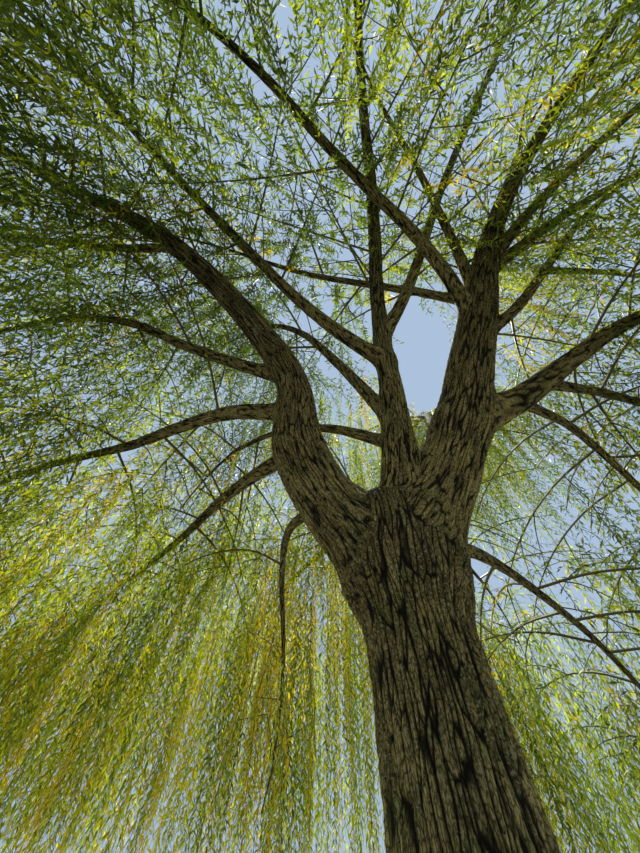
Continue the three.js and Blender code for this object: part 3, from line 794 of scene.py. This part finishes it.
# The crown is denser in some places than in others, about a metre and a half apart.
CLUMP_SIZE = 0.75
CLUMP_SALT = 1656
THINNEST = 0.3
FULLEST = 1.7
# Sprigs stand only at the top of the crown, down to this far under the start of a bough's mass.
SPRIG_DEPTH = 0.1
SPRIG_SHARE = 0.25
SPRIG_LENGTHS = (0.3, 0.7)
SPRIG_RISES = (0, 55)
SPRIG_DROOP = 50
SPRIG_THICKNESS = 0.7
# A leaf's stance on its twig, in degrees: its turn from the next leaf's, its lean away and its roll.
LEAF_TURN = 35
LEAF_LEANS = (28, 72)
LEAF_ROLL = 45
# How far leaves bend down from there, as a share of their length.
LEAF_DROOP = 0.18
# The way that the turn is counted from, slightly different for each leaf.
LEAF_FROM = (0.3, 0.2, 1.0)
LEAF_FROM_SPREAD = 0.1
# A leaf's shape: where it is widest and how far its tip drops, as shares of its length, and its fold
# along the midrib, as a share of half its width.
LEAF_WIDEST = 0.42
LEAF_TIP_DROP = 0.08
LEAF_FOLD = 0.35
# Leaves differ in size, and are smaller towards a twig's tip.
LEAF_SIZES = (0.7, 1.2)
LEAF_WIDTHS = (0.8, 1.15)
TIP_START = 0.75
TIP_SHRINK = 0.36
# Leaves near the trunk are drawn smaller, because they are seen from close by.
SMALL_LEAF = 0.78
SMALL_LEAF_DISTANCES = (3.0, 7.0)


def room_to_walls(own, places):
    """How far places are from the nearest wall of a mass's own space, halfway to another mass."""
    room = np.full(len(places), np.inf)
    for other in tips().values():
        across = other[:2] - own[:2]
        apart = np.linalg.norm(across)
        if apart > 0:
            room = np.minimum(room, apart / 2 - (places[:, :2] - own[:2]) @ across / apart)
    return room


@lru_cache(maxsize=None)
def limb_knots():
    """Places along all limbs with the limb's radius there, thinned out."""
    line = np.vstack([limb.line[::KNOT_STEP] for limb in limbs().values()])
    radius = np.concatenate([limb.radius[::KNOT_STEP] for limb in limbs().values()])
    return line, radius


def clear_of_limbs(places):
    """Whether a strand passes no limb too closely, apart from where it starts."""
    line, radius = limb_knots()
    near = in_box_round(places, line, LIMB_SEARCH)
    if not near.any():
        return True
    away = np.linalg.norm(places[1:, None] - line[near], axis=-1) - radius[near]
    return away.min() > LIMB_MARGIN


def hanging_line(root, heading, out, arch, foot, luck):
    """A twig that arches out from its root to a shoulder and then hangs down, swaying a little."""
    ahead = direction(heading, 0) * out
    crown = root + ahead * 0.5 + [0, 0, arch]
    shoulder = root + ahead - [0, 0, out * SHOULDER_DROP]
    drop = max(shoulder[2] - foot, SHORTEST_DROP)
    count = max(1, round(drop / SWAY_STEP))
    sway = np.cumsum(luck.uniform(-SWAY, SWAY, (count, 2)), axis=0)
    down = -drop * (np.arange(count) + 1) / count
    hang = shoulder + np.column_stack([sway, down])
    return smooth_line(np.vstack([root, crown, shoulder, hang]), STRAND_STEP, STRAND_CROWDING)


def inside_box(places):
    """Whether a twig stays in the part's own box, apart from its leaves."""
    low, high = np.array(CAD_BOX)
    return ((places > low) & (places < high)).all()


def crown_floor(place):
    """How low the foliage reaches at a place: the space round the trunk under the crown stays open."""
    return np.interp(math.dist(place[:2], OPEN_CENTRE), FLOOR_DISTANCES, FLOOR_HEIGHTS)


def pick_tint(bough, luck):
    """The colour of one spray's leaves."""
    mix = TINTS[bough.tint]
    return luck.choice(list(mix), p=np.array(list(mix.values())) / 100)


@lru_cache(maxsize=None)
def hung():
    """The metres of strands that hang already, by small squares of ground."""
    return {}


def square_of(line):
    """The small square of ground that a strand hangs over."""
    middle = line[len(line) // 2]
    return (math.floor(middle[0] / SQUARE), math.floor(middle[1] / SQUARE))


def has_room(line):
    """Whether the crown isn't full yet where a strand would hang."""
    square = square_of(line)
    corner = np.array([*square, 0]) * SQUARE
    side = "left" if corner[0] < FULL_SIDE_ENDS else "right"
    usual = np.interp(math.dist(corner[:2], THIN_CENTRE), FULL_DISTANCES, FULLNESS[side])
    clump = noise(corner / CLUMP_SIZE, CLUMP_SALT)
    most = usual * (THINNEST + (FULLEST - THINNEST) * clump)
    return hung().get(square, 0.0) < most * SQUARE ** 2


def sprig(root, heading, tint, luck):
    """A short leafy twig that stands up from a shoot or a side branch and bends over at its tip."""
    length = luck.uniform(*SPRIG_LENGTHS)
    rise = luck.uniform(*SPRIG_RISES)
    steps = direction([heading, heading], [rise, rise - SPRIG_DROOP]) * length / 2
    line = root + np.vstack([np.zeros(3), np.cumsum(steps, axis=0)])
    radius = bpy.context.scene.willow_foliage.twig_radius * SPRIG_THICKNESS
    return Strand(line, radius, tint, BARE_STRAND)


def hanging_strands(bough, carrier, heading, span, luck):
    """The strands that hang from a shoot or a side branch, where there is room, and its sprigs."""
    foliage = bpy.context.scene.willow_foliage
    reached = lengths_along(carrier)
    spray = pick_tint(bough, luck)
    found = []
    sprigs = []
    side = 1
    at = STRAND_START
    while at < span:
        root = read_along(carrier, reached, at)
        side = -side
        turn = heading + side * luck.uniform(*STRAND_TURNS)
        out = luck.uniform(*STRAND_REACHES)
        lowest = max(crown_floor(root), bough.foot) + luck.uniform(0, RAGGED_FOOT)
        length = (1 - SHORTENING * luck.random() ** SHORTENING_POWER) * foliage.longest_strand
        low = max(lowest, root[2] - length)
        tint = spray if luck.random() < SPRAY_SHARE else pick_tint(bough, luck)
        if root[2] - low > SHORTEST_STRAND:
            line = hanging_line(root, turn, out, out * luck.uniform(*STRAND_ARCHES), low, luck)
            if has_room(line) and inside_box(line) and clear_of_limbs(line):
                found.append(Strand(line, foliage.twig_radius, tint, BARE_STRAND))
                square = square_of(line)
                hung()[square] = hung().get(square, 0.0) + lengths_along(line)[-1]
        if luck.random() < SPRIG_SHARE and root[2] > tips()[bough.name][2] - SPRIG_DEPTH:
            short = sprig(root, turn, tint, luck)
            if inside_box(short.line) and clear_of_limbs(short.line):
                sprigs.append(short)
        at += foliage.strand_gap * luck.uniform(*STRAND_GAPS)
    return found + sprigs if found else []


def mass_strands(bough, index):
    """The strands of one mass: shoots that spread from the leader, and what hangs from them."""
    foliage = bpy.context.scene.willow_foliage
    luck = np.random.default_rng(SEED + SEED_STEP * index)
    limb = limbs()[bough.name]
    own = tips()[bough.name]
    found = []
    for i in range(foliage.shoots):
        share = i / (foliage.shoots - 1)
        at = bough.length + share * (limb.reached[-1] - bough.length) * SHOOTS_END
        root = limb.line[np.searchsorted(limb.reached, at)]
        out = bough.reach * math.sqrt((i + FIRST_SHOOT) / foliage.shoots) * luck.uniform(*SHOOT_REACHES)
        headroom = CAD_BOX[1][2] - TOP_MARGIN - root[2]
        arch = min(out * ARCH_HEIGHT * luck.uniform(*SHOOT_ARCHES), headroom)
        foot = bough.foot + luck.uniform(0, RAGGED_FOOT)
        heading = i * GOLDEN_ANGLE + luck.uniform(0, TWIG_SPREAD)
        line = hanging_line(root, heading, out, arch, foot, luck)
        if inside_box(line) and room_to_walls(own, line).min() > WALL_MARGIN and clear_of_limbs(line[1:]):
            radius = foliage.twig_radius * SHOOT_THICKNESS
            found.append(Strand(line, radius, pick_tint(bough, luck), BARE_SHOOT))
            found += hanging_strands(bough, line, heading, out * SHOOT_SPAN, luck)
    return found


def branchlet_line(root, heading, rise, length):
    """A side branch that springs from its bough, bends over and droops at its end."""
    shares = (np.arange(BRANCHLET_KNOTS) + 0.5) / BRANCHLET_KNOTS
    rises = rise - BRANCHLET_DROOP * shares
    steps = direction(np.full(BRANCHLET_KNOTS, heading), rises) * length / BRANCHLET_KNOTS
    return smooth_line(root + np.vstack([np.zeros(3), np.cumsum(steps, axis=0)]), BRANCHLET_STEP)


def side_branch(bough, root, heading, rise, length, radius, order, luck):
    """A side branch with its finer branches, down to the last order, and with what hangs from them."""
    line = branchlet_line(root, heading, rise, length)
    if not inside_box(line) or not clear_of_limbs(line[2:]):
        return []
    found = []
    side = 1
    at = FINE_BRANCH_GAP
    while order > 0 and at < length:
        share = at / length
        side = -side
        turn = heading + side * luck.uniform(*FINE_BRANCH_TURNS)
        climb = rise - BRANCHLET_DROOP * share + luck.uniform(*FINE_BRANCH_RISES)
        fine = length * luck.uniform(*FINE_BRANCH_LENGTHS)
        found += side_branch(bough, point_along(line, share), turn, climb, fine,
                             radius * FINE_BRANCH_THICKNESS, order - 1, luck)
        at += FINE_BRANCH_GAP * luck.uniform(*BRANCH_GAPS)
    found += hanging_strands(bough, line, heading, length, luck)
    if found:
        found.append(Strand(line, radius, pick_tint(bough, luck), BARE_BRANCH))
    return found


def branch_strands(bough, index):
    """The side branches along a bough, every second one long and branched again."""
    foliage = bpy.context.scene.willow_foliage
    luck = np.random.default_rng(SEED + SEED_STEP * index + 1)
    limb = limbs()[bough.name]
    found = []
    count = 0
    at = BARE_SHARE * bough.length
    while at < limb.reached[-1] - LEADER_STEP:
        share = min(at / bough.length, 1)
        side = 1 if count % 2 else -1
        order = 1 if count % 4 < 2 else 0
        heading = along(bough.heading, share) + side * luck.uniform(*BRANCH_TURNS)
        rise = along(bough.rise, share) * BOUGH_RISE_SHARE + luck.uniform(*BRANCH_RISES)
        length = foliage.branchlet_length * luck.uniform(*BRANCH_LENGTHS[order])
        radius = foliage.branchlet_radius * BRANCH_THICKNESS[order]
        root = limb.line[np.searchsorted(limb.reached, at)]
        found += side_branch(bough, root, heading, rise, length, radius, order, luck)
        at += foliage.branchlet_gap * luck.uniform(*BRANCH_GAPS)
        count += 1
    return found


@lru_cache(maxsize=None)
def strands():
    """All strands, by the name of the bough that carries them.

    The crown's bough grows its own first, and then the low masses before the high ones.
    """
    grown = {}
    for i, bough in sorted(enumerate(BOUGHS), key=lambda pair: (pair[1].name != "crown", pair[1].foot)):
        grown[bough.name] = mass_strands(bough, i) + branch_strands(bough, i)
    return grown


def twig_mesh(name, group):
    """The strands of several masses as one mesh of slim three-sided tubes."""
    angle = np.arange(TWIG_SIDES) * 2 * np.pi / TWIG_SIDES
    places, faces = [], []
    total = 0
    for strand in group:
        across, side = ring_frames(strand.line)
        radius = strand.radius * np.linspace(1, TWIG_TIP, len(strand.line))[:, None, None]
        ring = np.cos(angle)[:, None] * across[:, None] + np.sin(angle)[:, None] * side[:, None]
        places.append((strand.line[:, None] + radius * ring).reshape(-1, 3))
        faces.append(grid_faces(len(strand.line), TWIG_SIDES) + total)
        total += len(places[-1])
    return mesh_from(name, np.vstack(places), [np.vstack(faces)])


def leaf_roots(group):
    """Where the leaves of these strands stand, the strand's way there and the share of it passed."""
    gap = bpy.context.scene.willow_foliage.leaf_gap
    roots, ways, ages = [], [], []
    for strand in group:
        reached = lengths_along(strand.line)
        at = np.arange(strand.bare * min(reached[-1], LONGEST_BARE), reached[-1], gap)
        roots.append(read_along(strand.line, reached, at))
        ways.append(read_along(unit(np.gradient(strand.line, axis=0)), reached, at))
        ages.append(at / reached[-1])
    return np.vstack(roots), unit(np.vstack(ways)), np.concatenate(ages)


def leaf_mesh(name, group, seed):
    """The leaves of several strands as one mesh. A leaf is a slim blade folded along its midrib."""
    foliage = bpy.context.scene.willow_foliage
    luck = np.random.default_rng(seed)
    root, way, age = leaf_roots(group)
    count = len(root)
    jitter = luck.uniform(-LEAF_TURN, LEAF_TURN, count)
    turn = np.radians(np.arange(count) * GOLDEN_ANGLE + jitter)[:, None]
    across = unit(np.cross(way, LEAF_FROM + LEAF_FROM_SPREAD * luck.normal(size=(count, 3))))
    side = np.cross(way, across)
    out = np.cos(turn) * across + np.sin(turn) * side
    lean = np.radians(luck.uniform(*LEAF_LEANS, count))[:, None]
    axis = unit(way * np.cos(lean) + out * np.sin(lean) - [0, 0, LEAF_DROOP])
    roll = np.radians(luck.uniform(-LEAF_ROLL, LEAF_ROLL, count))[:, None]
    flat = unit(np.cross(axis, out))
    lifted = np.cross(flat, axis)
    flat = flat * np.cos(roll) + lifted * np.sin(roll)
    lifted = np.cross(flat, axis)
    near_tip = np.clip((age - TIP_START) / (1 - TIP_START), 0, 1)
    size = luck.uniform(*LEAF_SIZES, count) * (1 - TIP_SHRINK * near_tip)
    size *= np.interp(np.hypot(root[:, 0], root[:, 1]), SMALL_LEAF_DISTANCES, (SMALL_LEAF, 1))
    length = (foliage.leaf_length * size)[:, None]
    half = (foliage.leaf_width * size / 2 * luck.uniform(*LEAF_WIDTHS, count))[:, None]
    middle = root + axis * length * LEAF_WIDEST + lifted * half * LEAF_FOLD
    tip = root + axis * length - [0, 0, 1] * length * LEAF_TIP_DROP
    corners = np.stack([root, middle + flat * half, tip, middle - flat * half], 1)
    first = np.arange(count)[:, None] * 4
    faces = np.concatenate([first + [0, 1, 2], first + [0, 2, 3]], 1).reshape(-1, 3)
    mesh = mesh_from(name, corners.reshape(-1, 3), [faces])
    foot, point, right, left = [0.5, 0], [0.5, 1], [1, LEAF_WIDEST], [0, LEAF_WIDEST]
    add_map(mesh, np.tile([foot, right, point, foot, point, left], (count, 1)))
    return mesh


# Materials

# A leaf's midrib is paler than its blade, and light from behind comes through brighter and yellower.
RIB_GAIN = 1.5
RIB_LIFT = 0.02
GLOW_GAINS = (1.75, 1.85, 0.6)
GLOW_SHARE = 0.48


def add_node(tree, kind, settings, inputs):
    """Adds a node with its settings. Each of its inputs gets a value, or a link from another node."""
    node = tree.nodes.new(kind)
    for name, value in settings.items():
        setattr(node, name, value)
    for name, value in inputs.items():
        if isinstance(value, bpy.types.NodeSocket):
            tree.links.new(value, node.inputs[name])
        else:
            node.inputs[name].default_value = value
    return node


def new_material(name):
    """An empty node material, with its tree and its output."""
    material = bpy.data.materials.new(name)
    material.use_nodes = True
    tree = material.node_tree
    tree.nodes.clear()
    return material, tree, tree.nodes.new("ShaderNodeOutputMaterial")


def opaque(colour):
    """A property's colour with full alpha."""
    return (*colour, 1.0)


def willow_bark():
    """Corky willow bark, grown in long ridges and weathered.

    The ridge tops are grey brown and dry, with lichen in patches. The furrows are nearly black, partly
    their own darker bark and partly painted shade in their depth. Each limb is painted lighter near its
    foot and darker further along, as painted light and shade.
    """
    colours = bpy.context.scene.willow_colours
    material, tree, output = new_material("Weathered willow bark")
    ridge = add_node(tree, "ShaderNodeAttribute", {"attribute_name": "ridge"}, {}).outputs["Fac"]
    place = add_node(tree, "ShaderNodeAttribute", {"attribute_name": "bark_place"}, {}).outputs["Vector"]
    long_place = add_node(tree, "ShaderNodeVectorMath", {"operation": "MULTIPLY"},
                          {0: place, 1: (1.0, 1.0, 0.25)}).outputs["Vector"]
    # Patches of lichen some 30 cm across, and cork flakes of about 8 mm drawn out along the ridges.
    patches = add_node(tree, "ShaderNodeTexNoise", {}, {
        "Vector": place, "Scale": 3.2, "Detail": 5.0, "Roughness": 0.62})
    flakes = add_node(tree, "ShaderNodeTexNoise", {}, {
        "Vector": long_place, "Scale": 120.0, "Detail": 5.0, "Roughness": 0.75})
    # Hairline cracks split the ridges into plates of about 15 by 60 mm.
    plates = add_node(tree, "ShaderNodeTexVoronoi", {"feature": "DISTANCE_TO_EDGE"}, {
        "Vector": long_place, "Scale": 66.0})
    cracks = add_node(tree, "ShaderNodeMapRange", {"interpolation_type": "SMOOTHSTEP"}, {
        "Value": plates.outputs["Distance"], "From Max": 0.16, "To Min": 0.3}).outputs["Result"]
    # Scales of pale lichen and fresh cork 1 to 3 cm wide.
    scales = add_node(tree, "ShaderNodeTexNoise", {}, {
        "Vector": place, "Scale": 46.0, "Detail": 3.0, "Roughness": 0.55})
    flecks = add_node(tree, "ShaderNodeMapRange", {"interpolation_type": "SMOOTHSTEP"}, {
        "Value": scales.outputs["Fac"], "From Min": 0.57, "From Max": 0.65,
        "To Max": 0.8}).outputs["Result"]
    # Rain and dust change the cork's shade over some 11 cm, and 4 times as far along the ridges.
    weather = add_node(tree, "ShaderNodeTexNoise", {}, {
        "Vector": long_place, "Scale": 9.0, "Detail": 4.0, "Roughness": 0.6})
    # How far down in a furrow each place is. This sets where the furrow colour, partly darker bark and
    # partly painted shade, takes over.
    depth = add_node(tree, "ShaderNodeMapRange", {"interpolation_type": "SMOOTHSTEP"}, {
        "Value": ridge, "From Min": 0.0, "From Max": 0.55}).outputs["Result"]
    pale = add_node(tree, "ShaderNodeMapRange", {}, {
        "Value": flakes.outputs["Fac"], "From Min": 0.36, "From Max": 0.66,
        "To Min": 0.3, "To Max": 1.8}).outputs["Result"]
    aged = add_node(tree, "ShaderNodeMapRange", {}, {
        "Value": weather.outputs["Fac"], "From Min": 0.34, "From Max": 0.66,
        "To Min": 0.45, "To Max": 1.5}).outputs["Result"]
    # Painted light and shade: the bark is painted lighter near the ground, as if lit from the floor, and
    # darker from 1.5 m up to the fork at 4.5 m, as painted shade under the crown. The metres are counted
    # along each limb from its foot.
    height = add_node(tree, "ShaderNodeSeparateXYZ", {}, {0: place}).outputs["Z"]
    ground_light_and_crown_shade = add_node(tree, "ShaderNodeMapRange", {}, {
        "Value": height, "From Min": 1.5, "From Max": 4.5, "To Min": 1.5, "To Max": 0.8}).outputs["Result"]
    weather_and_painted_light = add_node(tree, "ShaderNodeMath", {"operation": "MULTIPLY"},
                     {0: aged, 1: ground_light_and_crown_shade}).outputs["Value"]
    worn_and_painted_light = add_node(tree, "ShaderNodeMath", {"operation": "MULTIPLY"},
                    {0: pale, 1: weather_and_painted_light}).outputs["Value"]
    # The cork's tone: flakes, weather and cracks, with the painted light from the ground and the painted
    # shade under the crown.
    shade = add_node(tree, "ShaderNodeMath", {"operation": "MULTIPLY"},
                     {0: worn_and_painted_light, 1: cracks}).outputs["Value"]
    cork = add_node(tree, "ShaderNodeVectorMath", {"operation": "SCALE"}, {
        0: tuple(colours.ridge), "Scale": shade}).outputs["Vector"]
    grown = add_node(tree, "ShaderNodeMapRange", {"interpolation_type": "SMOOTHSTEP"}, {
        "Value": patches.outputs["Fac"], "From Min": 0.5, "From Max": 0.66,
        "To Max": 0.75}).outputs["Result"]
    green = add_node(tree, "ShaderNodeVectorMath", {"operation": "SCALE"}, {
        0: tuple(colours.lichen), "Scale": shade}).outputs["Vector"]
    mossy = add_node(tree, "ShaderNodeMix", {"data_type": "RGBA"},
                     {0: grown, 6: cork, 7: green}).outputs[2]
    top = add_node(tree, "ShaderNodeMix", {"data_type": "RGBA"}, {
        0: flecks, 6: mossy, 7: opaque(colours.fleck)}).outputs[2]
    # Down in the furrows the bark takes the near-black furrow colour: partly its own darker bark, partly
    # painted shade.
    colour = add_node(tree, "ShaderNodeMix", {"data_type": "RGBA"}, {
        0: depth, 6: opaque(colours.furrow), 7: top}).outputs[2]
    coarse = add_node(tree, "ShaderNodeBump", {}, {
        "Strength": 0.9, "Distance": 0.008, "Height": cracks}).outputs["Normal"]
    bump = add_node(tree, "ShaderNodeBump", {}, {
        "Strength": 0.9, "Distance": 0.008, "Height": flakes.outputs["Fac"], "Normal": coarse})
    cork_shader = add_node(tree, "ShaderNodeBsdfPrincipled", {}, {
        "Base Color": colour, "Roughness": 0.92, "Specular IOR Level": 0.25,
        "Normal": bump.outputs["Normal"]})
    tree.links.new(cork_shader.outputs["BSDF"], output.inputs["Surface"])
    return material


def young_twig():
    """Smooth skin of first-year willow twigs, yellow brown with a slight gloss and finely pitted."""
    colours = bpy.context.scene.willow_colours
    material, tree, output = new_material("Young willow twig")
    place = add_node(tree, "ShaderNodeTexCoord", {}, {}).outputs["Object"]
    # Pores and scars a few millimetres apart, drawn as specks of 1 cm so that they show.
    specks = add_node(tree, "ShaderNodeTexNoise", {}, {
        "Vector": place, "Scale": 100.0, "Detail": 2.0}).outputs["Fac"]
    shade = add_node(tree, "ShaderNodeMapRange", {}, {
        "Value": specks, "From Min": 0.3, "From Max": 0.7, "To Min": 0.7, "To Max": 1.2}).outputs["Result"]
    colour = add_node(tree, "ShaderNodeVectorMath", {"operation": "SCALE"}, {
        0: tuple(colours.twig), "Scale": shade}).outputs["Vector"]
    bump = add_node(tree, "ShaderNodeBump", {}, {"Strength": 0.3, "Distance": 0.001, "Height": specks})
    skin = add_node(tree, "ShaderNodeBsdfPrincipled", {}, {
        "Base Color": colour, "Roughness": 0.55, "IOR": 1.45, "Normal": bump.outputs["Normal"]})
    tree.links.new(skin.outputs["BSDF"], output.inputs["Surface"])
    return material


def willow_leaf(name, colour):
    """A thin, slightly waxy willow leaf. Light from behind glows through it, brighter and yellower."""
    material, tree, output = new_material(name)
    flat = add_node(tree, "ShaderNodeUVMap", {"uv_map": "OFBake"}, {}).outputs["UV"]
    parts = add_node(tree, "ShaderNodeSeparateXYZ", {}, {0: flat})
    from_rib = add_node(tree, "ShaderNodeMath", {"operation": "SUBTRACT"}, {0: parts.outputs["X"], 1: 0.5})
    away = add_node(tree, "ShaderNodeMath", {"operation": "ABSOLUTE"}, {0: from_rib.outputs["Value"]})
    # The midrib is 1 mm wide on a real leaf, and drawn about 4 mm wide so that it shows.
    rib = add_node(tree, "ShaderNodeMapRange", {"interpolation_type": "SMOOTHSTEP"}, {
        "Value": away.outputs["Value"], "From Min": 0.0, "From Max": 0.09,
        "To Min": 1.0, "To Max": 0.0}).outputs["Result"]
    pale = tuple(min(1.0, part * RIB_GAIN + RIB_LIFT) for part in colour)
    blade = add_node(tree, "ShaderNodeMix", {"data_type": "RGBA"}, {
        0: rib, 6: opaque(colour), 7: opaque(pale)}).outputs[2]
    # Side veins about 5 mm apart run out from the midrib towards the tip.
    slant = add_node(tree, "ShaderNodeMath", {"operation": "MULTIPLY_ADD"}, {
        0: away.outputs["Value"], 1: -0.25, 2: parts.outputs["Y"]})
    veins = add_node(tree, "ShaderNodeMath", {"operation": "MULTIPLY"}, {
        0: slant.outputs["Value"], 1: 200.0})
    wave = add_node(tree, "ShaderNodeMath", {"operation": "SINE"}, {0: veins.outputs["Value"]})
    bump = add_node(tree, "ShaderNodeBump", {}, {
        "Strength": 0.25, "Distance": 0.0005, "Height": wave.outputs["Value"]})
    wax = add_node(tree, "ShaderNodeBsdfPrincipled", {}, {
        "Base Color": blade, "Roughness": 0.4, "IOR": 1.45, "Normal": bump.outputs["Normal"]})
    glow = tuple(min(1.0, part * gain) for part, gain in zip(colour, GLOW_GAINS))
    through = add_node(tree, "ShaderNodeBsdfTranslucent", {}, {"Color": opaque(glow)})
    both = add_node(tree, "ShaderNodeMixShader", {}, {
        0: GLOW_SHARE, 1: wax.outputs["BSDF"], 2: through.outputs["BSDF"]})
    tree.links.new(both.outputs["Shader"], output.inputs["Surface"])
    return material


def matt_paint(name, colour, roughness):
    """Matt painted board with a faint roller texture, for the floor under the tree."""
    material, tree, output = new_material(name)
    place = add_node(tree, "ShaderNodeTexCoord", {}, {}).outputs["Object"]
    stipple = add_node(tree, "ShaderNodeTexNoise", {}, {"Vector": place, "Scale": 40.0}).outputs["Fac"]
    bump = add_node(tree, "ShaderNodeBump", {}, {"Strength": 0.1, "Distance": 0.002, "Height": stipple})
    paint = add_node(tree, "ShaderNodeBsdfPrincipled", {}, {
        "Base Color": opaque(colour), "Roughness": roughness, "Normal": bump.outputs["Normal"]})
    tree.links.new(paint.outputs["BSDF"], output.inputs["Surface"])
    return material


# Operators

LEAF_NAMES = {
    "shade": "Shaded willow leaf",
    "green": "Green willow leaf",
    "light": "Yellow green willow leaf",
    "gold": "Autumn gold willow leaf",
}
# The key light comes from high up, a little behind the tree.
KEY_FROM = (0.06, 0.38, 0.92)
SENSOR_WIDTH = 36.0
VIEW_DISTANCE = 500.0


def place_piece(piece, nodes):
    """Puts a finished piece into the scene, in place of the nodes that it stands for."""
    bpy.context.scene.collection.objects.link(piece)
    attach(piece, "root")
    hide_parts(*nodes)


def place_foliage(mesh, material, masses):
    """Puts a mesh of twigs or leaves into the scene, in place of the masses that it is drawn for."""
    mesh.materials.append(material)
    place_piece(bpy.data.objects.new(mesh.name, mesh), [f"{name}_foliage" for name in masses])


class WILLOW_OT_bark(bpy.types.Operator):
    """Grow the furrowed bark of the trunk and of every bough"""

    bl_idname = "willow.bark"
    bl_label = "Trunk and boughs"

    def execute(self, context):
        material = willow_bark()
        for limb in limbs().values():
            node = "trunk" if limb.name == "trunk" else f"{limb.name}_bough"
            place_piece(limb_piece(limb, material), [node])
        return {"FINISHED"}


class WILLOW_OT_twigs(bpy.types.Operator):
    """Grow the hanging twigs of every mass of foliage"""

    bl_idname = "willow.twigs"
    bl_label = "Hanging twigs"

    def execute(self, context):
        material = young_twig()
        for quarter, masses in QUARTERS.items():
            group = [strand for name in masses for strand in strands()[name]]
            place_foliage(twig_mesh(f"{quarter}_twigs", group), material, masses)
        return {"FINISHED"}


class WILLOW_OT_leaves(bpy.types.Operator):
    """Grow the leaves on every twig, a tint for each spray"""

    bl_idname = "willow.leaves"
    bl_label = "Leaves"

    def execute(self, context):
        colours = context.scene.willow_colours
        for i, (tint, title) in enumerate(LEAF_NAMES.items()):
            material = willow_leaf(title, tuple(getattr(colours, tint)))
            for j, (quarter, masses) in enumerate(QUARTERS.items()):
                group = [strand for name in masses for strand in strands()[name] if strand.tint == tint]
                mesh = leaf_mesh(f"{quarter}_leaves_{tint}", group, SEED + 10 * i + j)
                place_foliage(mesh, material, masses)
        return {"FINISHED"}


class WILLOW_OT_stage(bpy.types.Operator):
    """Set up the floor, the lights and the camera"""

    bl_idname = "willow.stage"
    bl_label = "Stage"

    def execute(self, context):
        scene = context.scene
        stage = scene.willow_stage
        half = stage.floor_size / 2
        corners = [(-half, -half, 0), (half, -half, 0), (half, half, 0), (-half, half, 0)]
        mesh = mesh_from("floor", np.array(corners, float), [np.array([[0, 1, 2, 3]])])
        mesh.materials.append(matt_paint("Matt floor paint", tuple(stage.floor), 0.9))
        floor = bpy.data.objects.new("floor", mesh)
        scene.collection.objects.link(floor)
        world = bpy.data.worlds.new("Pale backdrop")
        world.use_nodes = True
        background = world.node_tree.nodes["Background"]
        background.inputs["Color"].default_value = opaque(stage.backdrop)
        background.inputs["Strength"].default_value = stage.fill_strength
        scene.world = world
        scene.view_settings.view_transform = "Standard"
        key = bpy.data.lights.new("key", "SUN")
        key.energy = stage.key_strength
        key.angle = stage.key_softness
        key.color = stage.key_colour
        lamp = bpy.data.objects.new("key", key)
        lamp.rotation_euler = Vector(KEY_FROM).to_track_quat("Z", "Y").to_euler()
        scene.collection.objects.link(lamp)
        lens = bpy.data.cameras.new("camera")
        lens.sensor_width = SENSOR_WIDTH
        lens.lens = stage.lens
        lens.clip_end = VIEW_DISTANCE
        camera = bpy.data.objects.new("camera", lens)
        tilt = Matrix.Rotation(math.pi / 2 + stage.camera_pitch, 4, "X")
        camera.matrix_world = (Matrix.Translation(stage.camera_place) @ tilt
                               @ Matrix.Rotation(stage.camera_roll, 4, "Z"))
        scene.collection.objects.link(camera)
        scene.camera = camera
        return {"FINISHED"}


class WILLOW_PT_panel(bpy.types.Panel):
    """The steps that build the willow"""

    bl_idname = "WILLOW_PT_panel"
    bl_label = "Weeping willow"
    bl_space_type = "VIEW_3D"
    bl_region_type = "UI"
    bl_category = "Willow"

    def draw(self, context):
        for group in (context.scene.willow_limbs, context.scene.willow_foliage,
                      context.scene.willow_colours, context.scene.willow_stage):
            column = self.layout.column()
            for name in group.__annotations__:
                column.prop(group, name)
        for operator in OPERATORS:
            self.layout.operator(operator.bl_idname)


GROUPS = {
    "willow_limbs": WillowLimbs,
    "willow_foliage": WillowFoliage,
    "willow_colours": WillowColours,
    "willow_stage": WillowStage,
}
OPERATORS = (WILLOW_OT_bark, WILLOW_OT_twigs, WILLOW_OT_leaves, WILLOW_OT_stage)


def register():
    """Makes the willow's settings, steps and panel known to Blender."""
    for name, group in GROUPS.items():
        bpy.utils.register_class(group)
        setattr(bpy.types.Scene, name, PointerProperty(type=group))
    for kind in (*OPERATORS, WILLOW_PT_panel):
        bpy.utils.register_class(kind)


def unregister():
    """Takes away what register made known."""
    for kind in (WILLOW_PT_panel, *reversed(OPERATORS)):
        bpy.utils.unregister_class(kind)
    for name, group in reversed(GROUPS.items()):
        delattr(bpy.types.Scene, name)
        bpy.utils.unregister_class(group)


def main():
    """Builds the willow and its stage."""
    register()
    bpy.ops.willow.bark()
    bpy.ops.willow.twigs()
    bpy.ops.willow.leaves()
    bpy.ops.willow.stage()


if __name__ == "__main__":
    main()
